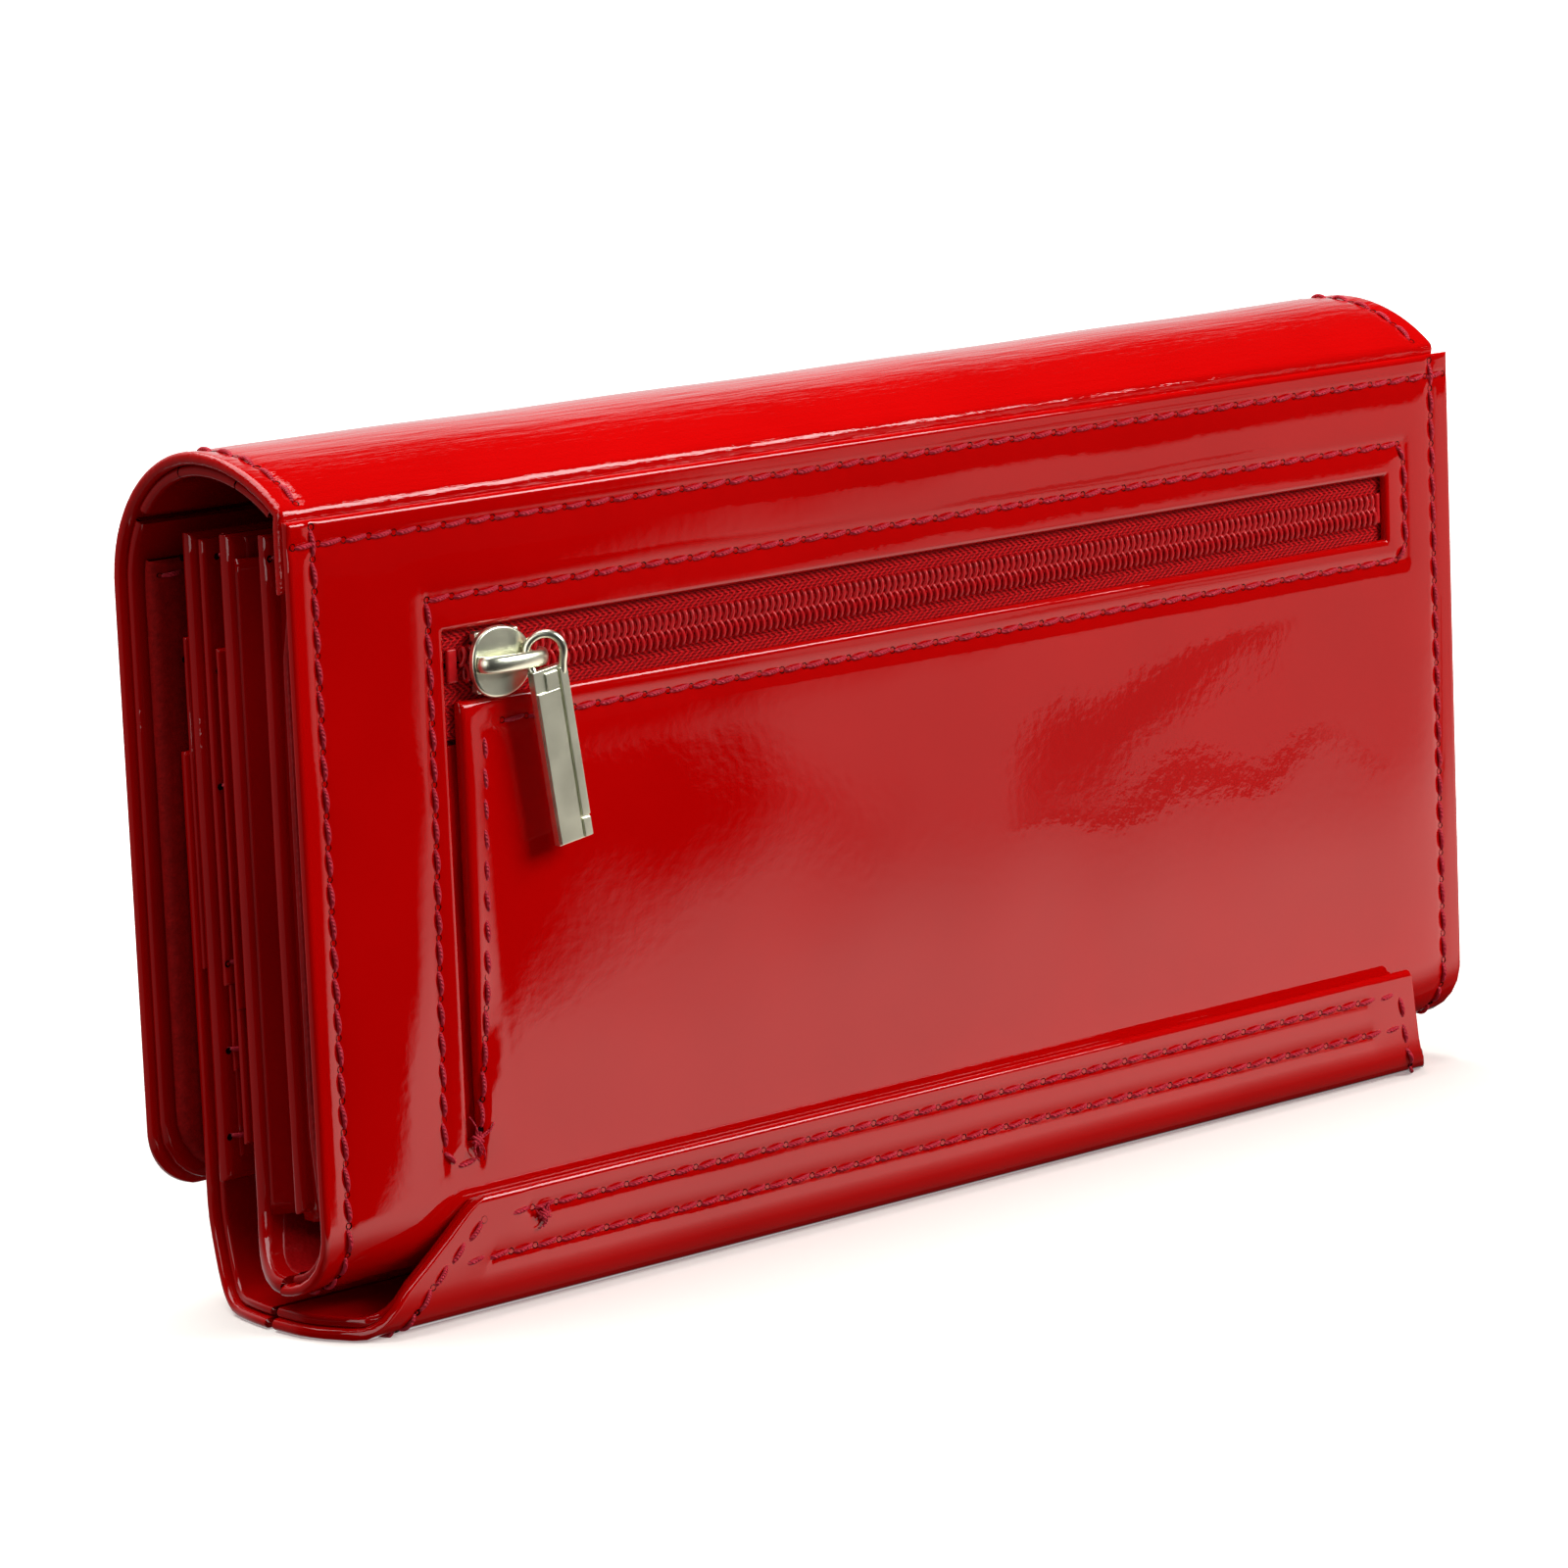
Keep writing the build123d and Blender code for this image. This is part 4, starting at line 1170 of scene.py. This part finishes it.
SKIN_NODES = (("flap_root", "flap_arch_rear"), ("flap_arch_top",), ("flap_arch_front",), ("flap_front",))
for k, nodes in enumerate(SKIN_NODES):
    last = k == 3
    piece = skin(
        f"flap_skin_{k + 1}", flap_path, flap_cuts[k:k + 2], (-HALF, FLAP_RIGHT), 0.0, FLAP_SKIN,
        patent if last else patent_arch, relief=flap_relief, free=(k == 0, last),
        step=(1.8 if last else 0.8, 2.5), seams=part_seams[k],
        ends=flap_ends if last else None, sway=flap_sway,
    )
    settle(piece, bend=flap_bends[k], stands_for=nodes)
    sewing = stitches(f"flap_thread_{k + 1}", flap_path, part_seams[k], relief=sewn_flap)
    settle(sewing, bend=flap_bends[k])

lining_cuts = (flap_at(54), *flap_cuts[1:4], flap_path.length - 0.8)
for k in range(4):
    last = k == 3
    piece = skin(
        f"flap_lining_{k + 1}", flap_path, lining_cuts[k:k + 2], (-HALF + 0.7, FLAP_RIGHT - 0.7),
        FLAP_SKIN + 0.02, FLAP_SKIN + FLAP_LINING, shaded_inner_patent, free=(k == 0, last),
        step=(2.5 if last else 0.8, 3.0),
        ends=(lambda s: flap_ends(s, 0.8)) if last else None, sway=flap_sway,
    )
    node = SKIN_NODES[k][-1] + "_lining"
    settle(piece, bend=flap_bends[k], stands_for=(node,))

slip_span = (flap_path.nearest(32.9, 88.7), flap_path.length - 2.0)
slip_seams = [[(-HALF + 3, slip_span[0] + 2.2), (FLAP_RIGHT - 3, slip_span[0] + 2.2)]]
SLIP_NEAR, SLIP_FAR = 3.05, 5.2
slip = skin(
    "flap_slip_pocket_leather", flap_path, slip_span, (-HALF + 1.6, FLAP_RIGHT - 1.6),
    SLIP_NEAR, SLIP_FAR, napped, step=(2.0, 3.0), ends=lambda s: flap_ends(s, 2.0),
)
settle(slip, "flap", stands_for=("flap_slip_pocket",))
slip_thread = stitches("flap_slip_pocket_thread", flap_path, slip_seams, inset=SLIP_FAR, face=-1)
settle(slip_thread, "flap")

# ---------------------------------------------------------------- slider and puller
SLIDER_X = -67.0
BRIDGE_DEPTH = -3.2
BRIDGE_LEFT, BRIDGE_RIGHT, BRIDGE_WIDEN = -70.6, -61.6, 1.9
PULLER_X = -62.5


def slider_parts():
    """A rounded shield-shaped plate, and its two flanges."""
    outline = []
    for a in np.linspace(0, 2 * pi, 56, endpoint=False):
        reach = 4.75 * (1 - 0.06 * cos(2 * a))
        rise = 4.1 * (1 - 0.10 * cos(a)) * (1 - 0.16 * max(0.0, cos(a)) ** 3)
        outline.append((SLIDER_X + reach * cos(a), ZIP_HEIGHT + rise * sin(a)))
    flanges = [
        block(SLIDER_X - 3.2, SLIDER_X + 3.2, ZIP_HEIGHT + foot, ZIP_HEIGHT + top, -0.3, 1.05)
        for foot, top in ((-3.6, -2.3), (2.3, 3.6))
    ]
    return [prism(outline, -1.2, -0.2), *flanges]


v, f = join_parts(*slider_parts())
slider = shape_part("slider_plate", v, f, metal, 0.32)
settle(slider, "slider", stands_for=("zip_slider",))

# bridge: an arched bar whose section is a flattened round
t = np.linspace(0, pi, 25)
bridge_line = np.stack([
    (BRIDGE_LEFT + BRIDGE_RIGHT) / 2 - (BRIDGE_RIGHT - BRIDGE_LEFT) / 2 * np.cos(t),
    -1.0 - 2.25 * np.sin(t) ** 0.55,
    np.full_like(t, ZIP_HEIGHT),
], -1)
v, f = tube(bridge_line, np.array([0, 0, 1.0]), 0.52, sides=16)
v[:, 2] = ZIP_HEIGHT + (v[:, 2] - ZIP_HEIGHT) * BRIDGE_WIDEN
bridge = make_object("slider_bridge", place(v), f, metal)
settle(bridge, "slider")

PULLER_LEAN = radians(8.0)
PULLER_WIDTH, PULLER_LENGTH = 5.0, 20.7
PULLER_TOP = 1.2


def puller_frame(vertices):
    """(across, out, up) of the puller, from the bridge's middle, to (x, depth, height)."""
    vertices = np.asarray(vertices, float)
    u, w, up = vertices[:, 0], vertices[:, 1], vertices[:, 2]
    x = PULLER_X + u * cos(PULLER_LEAN) - up * sin(PULLER_LEAN)
    z = ZIP_HEIGHT + u * sin(PULLER_LEAN) + up * cos(PULLER_LEAN)
    return np.stack([x, BRIDGE_DEPTH + w, z], -1)


half_wide, foot, top = PULLER_WIDTH / 2, -PULLER_TOP - PULLER_LENGTH, -PULLER_TOP
# the tab, its raised field in two blocks on the left, and the rail in two on the right of a groove
tab = [block(*sizes, puller_frame) for sizes in (
    (-half_wide, half_wide, foot, top, -0.40, 0.60),
    (-half_wide + 0.12, 1.0, foot + 0.12, top - 2.6, -0.62, -0.30),
    (-0.9, 1.0, top - 2.7, top - 0.5, -0.62, -0.30),
    (1.22, half_wide - 0.08, foot + 2.6, top - 0.3, -0.72, -0.30),
    (1.22, half_wide - 0.08, foot + 0.12, foot + 2.35, -0.66, -0.30),
)]
v, f = join_parts(*tab)
puller = shape_part("puller_tab", v, f, metal, 0.11, 2)
settle(puller, "puller", stands_for=("zip_puller",))

# the eye: a loop that comes up behind the bridge, over it and down in front
loop = [
    (-1.75, 0.15, -PULLER_TOP - 0.8), (-1.85, 0.75, -0.4), (-1.75, 1.30, 0.6), (-1.25, 1.35, 1.9),
    (-0.2, 0.55, 2.75), (0.9, -0.55, 2.7), (1.75, -1.15, 1.7), (1.95, -1.15, 0.3), (1.92, -0.60, -0.9),
    (1.90, -0.25, -PULLER_TOP - 1.1),
]
v, f = tube(puller_frame(smoothed(loop, 60, 12)), np.array([0, -1.0, 0]), 0.50, sides=14)
settle(make_object("puller_eye", place(v), f, metal), "puller")

# ---------------------------------------------------------------- camera
AZIMUTH, ELEVATION, ROLL = radians(-41.94), radians(9.73), radians(-2.41)
DISTANCE, LENS = 764.08, 144.2
SIDE_SHIFT, RISE_SHIFT = 17.81, -0.94
back = Vector((sin(AZIMUTH) * cos(ELEVATION), -cos(AZIMUTH) * cos(ELEVATION), sin(ELEVATION)))
right = Vector((cos(AZIMUTH), sin(AZIMUTH), 0))
up = back.cross(right)
view_right = right * cos(ROLL) + up * sin(ROLL)
view_up = -right * sin(ROLL) + up * cos(ROLL)
target = Vector((0, FACE_Y, 50))
eye = target + back * DISTANCE - view_right * SIDE_SHIFT - view_up * RISE_SHIFT
scene = bpy.context.scene
camera_data = bpy.data.cameras.new("camera")
camera_data.lens = LENS
camera_data.sensor_width = 36
camera_data.clip_start = 0.01
camera = bpy.data.objects.new("camera", camera_data)
scene.collection.objects.link(camera)
facing = Matrix((view_right, view_up, back)).transposed().to_4x4()
camera.matrix_world = Matrix.Translation(eye * MM) @ facing
scene.camera = camera
scene.view_settings.view_transform = "Standard"

# ---------------------------------------------------------------- floor and cards, metres
WHITE = (1, 1, 1, 1)
FLOOR_HALF = 4.0
floor_z = cad_low.z - 0.0001
mirror_z, left_mirror_z = floor_z - 0.0005, floor_z - 0.0006


def glowing(name, colour, strength):
    """A card's material, which only shines."""
    return blank_material(
        name, Base_Color=(0, 0, 0, 1), Specular_IOR_Level=0.0,
        Emission_Color=(*colour, 1), Emission_Strength=strength,
    )


def places_of(material):
    return material.node_tree.nodes.new("ShaderNodeTexCoord").outputs["Object"]


def card(name, corners, material, floor=False):
    """A studio surface, given by its corners: the floor, or a card that only reflections see."""
    mesh = bpy.data.meshes.new(name)
    mesh.from_pydata(corners, [], [list(range(len(corners)))])
    mesh.materials.append(material)
    obj = bpy.data.objects.new(name, mesh)
    scene.collection.objects.link(obj)
    obj.visible_camera = obj.visible_shadow = floor
    obj.visible_glossy = not floor
    obj.visible_diffuse = False
    obj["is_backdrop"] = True


# the floor shines a little near the wallet and fully farther out, so its edge is lost in white
floor_material, floor_shader = blank_material(
    "floor_white", Base_Color=(0.95, 0.90, 0.84, 1), Roughness=0.9,
    Specular_IOR_Level=0.0, Emission_Color=WHITE,
)
reach = floor_material.node_tree.nodes.new("ShaderNodeVectorMath")
reach.operation = "LENGTH"
floor_material.node_tree.links.new(places_of(floor_material), reach.inputs[0])
settings(floor_shader, Emission_Strength=fade(reach.outputs["Value"], 0.10, 0.26, 0.24, 1.0))
card("floor", [(x * FLOOR_HALF, y * FLOOR_HALF, floor_z) for x, y in ((-1, -1), (1, -1), (1, 1), (-1, 1))],
     floor_material, floor=True)

# a painted reflection: the table top as the lacquer mirrors it, bright near the wallet's right, fading away
# from it
GLOW_LEFT, GLOW_RIGHT, GLOW_DEEP = -0.20, 0.60, 0.70
# (x, how far in front of the wallet's middle the light ends there)
GLOW_LINE = (
    (-0.20, 0.010), (-0.058, 0.058), (-0.028, 0.084), (0.028, 0.140), (0.102, 0.192), (0.186, 0.240),
    (0.237, 0.340), (0.37, 0.465), (0.60, 0.70),
)
GLOW_CARD = ((-0.20, -0.016), (-0.20, -0.30), (0.25, -0.60), (3.0, -1.4), (3.0, -0.016))
glow, glow_shader = glowing("table_glow", (1.12, 1.0, 0.93), 1.0)
glow_places = add(glow.node_tree, "ShaderNodeSeparateXYZ", Vector=places_of(glow)).outputs
glow_x, glow_y = glow_places["X"], glow_places["Y"]
along = fade(glow_x, GLOW_LEFT, GLOW_RIGHT, 0.0, 1.0, "LINEAR")
glow_edge = ramp(along, *(
    ((x - GLOW_LEFT) / (GLOW_RIGHT - GLOW_LEFT), (y / GLOW_DEEP,) * 3) for x, y in GLOW_LINE
))
past = maths("ADD", glow_y, maths("MULTIPLY", glow_edge, GLOW_DEEP))
softness = maths("ADD", maths("MULTIPLY", maths("MAXIMUM", glow_x, 0.0), 0.13), 0.004)
lit = fade(maths("DIVIDE", past, softness), -1.0, 1.4, 0.0, 1.0)
level = fade(glow_y, -0.22, -0.10, 0.62, 1.35)
# painted contact shadow: the mirrored table fades almost to nothing just in front of the wallet
near_wallet_painted_shadow = fade(glow_y, -0.045, -0.020, 1.0, 0.06)


def stroke(centre, turn, half_long, half_wide):
    """A long soft-edged shade across the lit stretch."""
    off = [maths("SUBTRACT", axis, value) for axis, value in zip((glow_x, glow_y), centre)]
    parts = []
    for x, y, half in ((cos(turn), sin(turn), half_long), (-sin(turn), cos(turn), half_wide)):
        share = maths("ADD", maths("MULTIPLY", off[0], x / half), maths("MULTIPLY", off[1], y / half))
        parts.append(maths("MULTIPLY", share, share))
    return fade(maths("ADD", *parts), 0.2, 1.2, 0.30, 1.0)


# two painted shade strokes that meet in a point, like a feather
upper_stroke = stroke((0.292, -0.262), radians(-33), 0.130, 0.012)
lower_stroke = stroke((0.232, -0.197), radians(-2), 0.048, 0.009)
shade = maths("MULTIPLY", upper_stroke, lower_stroke)
total = maths("MULTIPLY", maths("MULTIPLY", lit, level), maths("MULTIPLY", near_wallet_painted_shadow, shade))
settings(glow_shader, Emission_Strength=total)
card("table_mirror", [(x, y, mirror_z) for x, y in GLOW_CARD], glow)

EDGE_CARD_X, EDGE_CARD_FRONT, EDGE_CARD_BACK, EDGE_CARD_TOP = -0.9, -0.50, -0.05, 0.7
card("edge_light", [
    (EDGE_CARD_X, EDGE_CARD_FRONT, 0.0), (EDGE_CARD_X, EDGE_CARD_BACK, 0.0),
    (EDGE_CARD_X, EDGE_CARD_BACK, EDGE_CARD_TOP), (EDGE_CARD_X, EDGE_CARD_FRONT, EDGE_CARD_TOP),
], glowing("edge_glow", (1, 0.98, 0.96), 2.2)[0])
# a dim painted reflection of the table on the wallet's left
LEFT_CARD = ((-3, -0.5), (-0.12, -0.02), (-0.12, 3.0), (-3, 3.0))
card("table_mirror_left", [(x, y, left_mirror_z) for x, y in LEFT_CARD],
     glowing("table_glow_left", (1, 0.98, 0.96), 0.12)[0])


# ---------------------------------------------------------------- lights and room
def area_light(name, place_, size, energy):
    """A rectangular light that looks at the middle of the wallet's lower half."""
    data = bpy.data.lights.new(name, "AREA")
    data.shape = "RECTANGLE"
    data.size, data.size_y = size
    data.energy = energy
    light = bpy.data.objects.new(name, data)
    scene.collection.objects.link(light)
    light.location = place_
    light.rotation_euler = (Vector((0, 0, 0.05)) - Vector(place_)).to_track_quat("-Z", "Y").to_euler()


area_light("top_softbox", (-0.20, 0.38, 1.30), (1.5, 1.2), 23)
area_light("front_fill", (0.50, -0.80, 0.60), (0.6, 0.5), 9.6)

world = bpy.data.worlds.new("studio")
scene.world = world
world.use_nodes = True
room_tree = world.node_tree
room_tree.nodes.clear()
ray = room_tree.nodes.new("ShaderNodeLightPath").outputs
view_coords = room_tree.nodes.new("ShaderNodeTexCoord").outputs["Generated"]
direction = add(room_tree, "ShaderNodeSeparateXYZ", Vector=view_coords).outputs
# gloss sees a bright room behind the wallet; the left is dim, so the layers there stay deep
behind = fade(direction["Y"], 0.46, 0.72, 0.02, 1.0)
to_right = fade(direction["X"], -0.55, 0.15, 0.10, 0.85)


def background(strength):
    return add(room_tree, "ShaderNodeBackground", Color=WHITE, Strength=strength).outputs["Background"]


def choose(share, first, second):
    node = add(room_tree, "ShaderNodeMixShader", Fac=share)
    for socket, shader in zip(node.inputs[1:], (first, second)):
        room_tree.links.new(shader, socket)
    return node.outputs["Shader"]


soft_room = choose(ray["Is Glossy Ray"], background(0.22), background(maths("MULTIPLY", behind, to_right)))
whole_room = choose(ray["Is Camera Ray"], soft_room, background(1.0))
add(room_tree, "ShaderNodeOutputWorld", Surface=whole_room)

low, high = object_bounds()
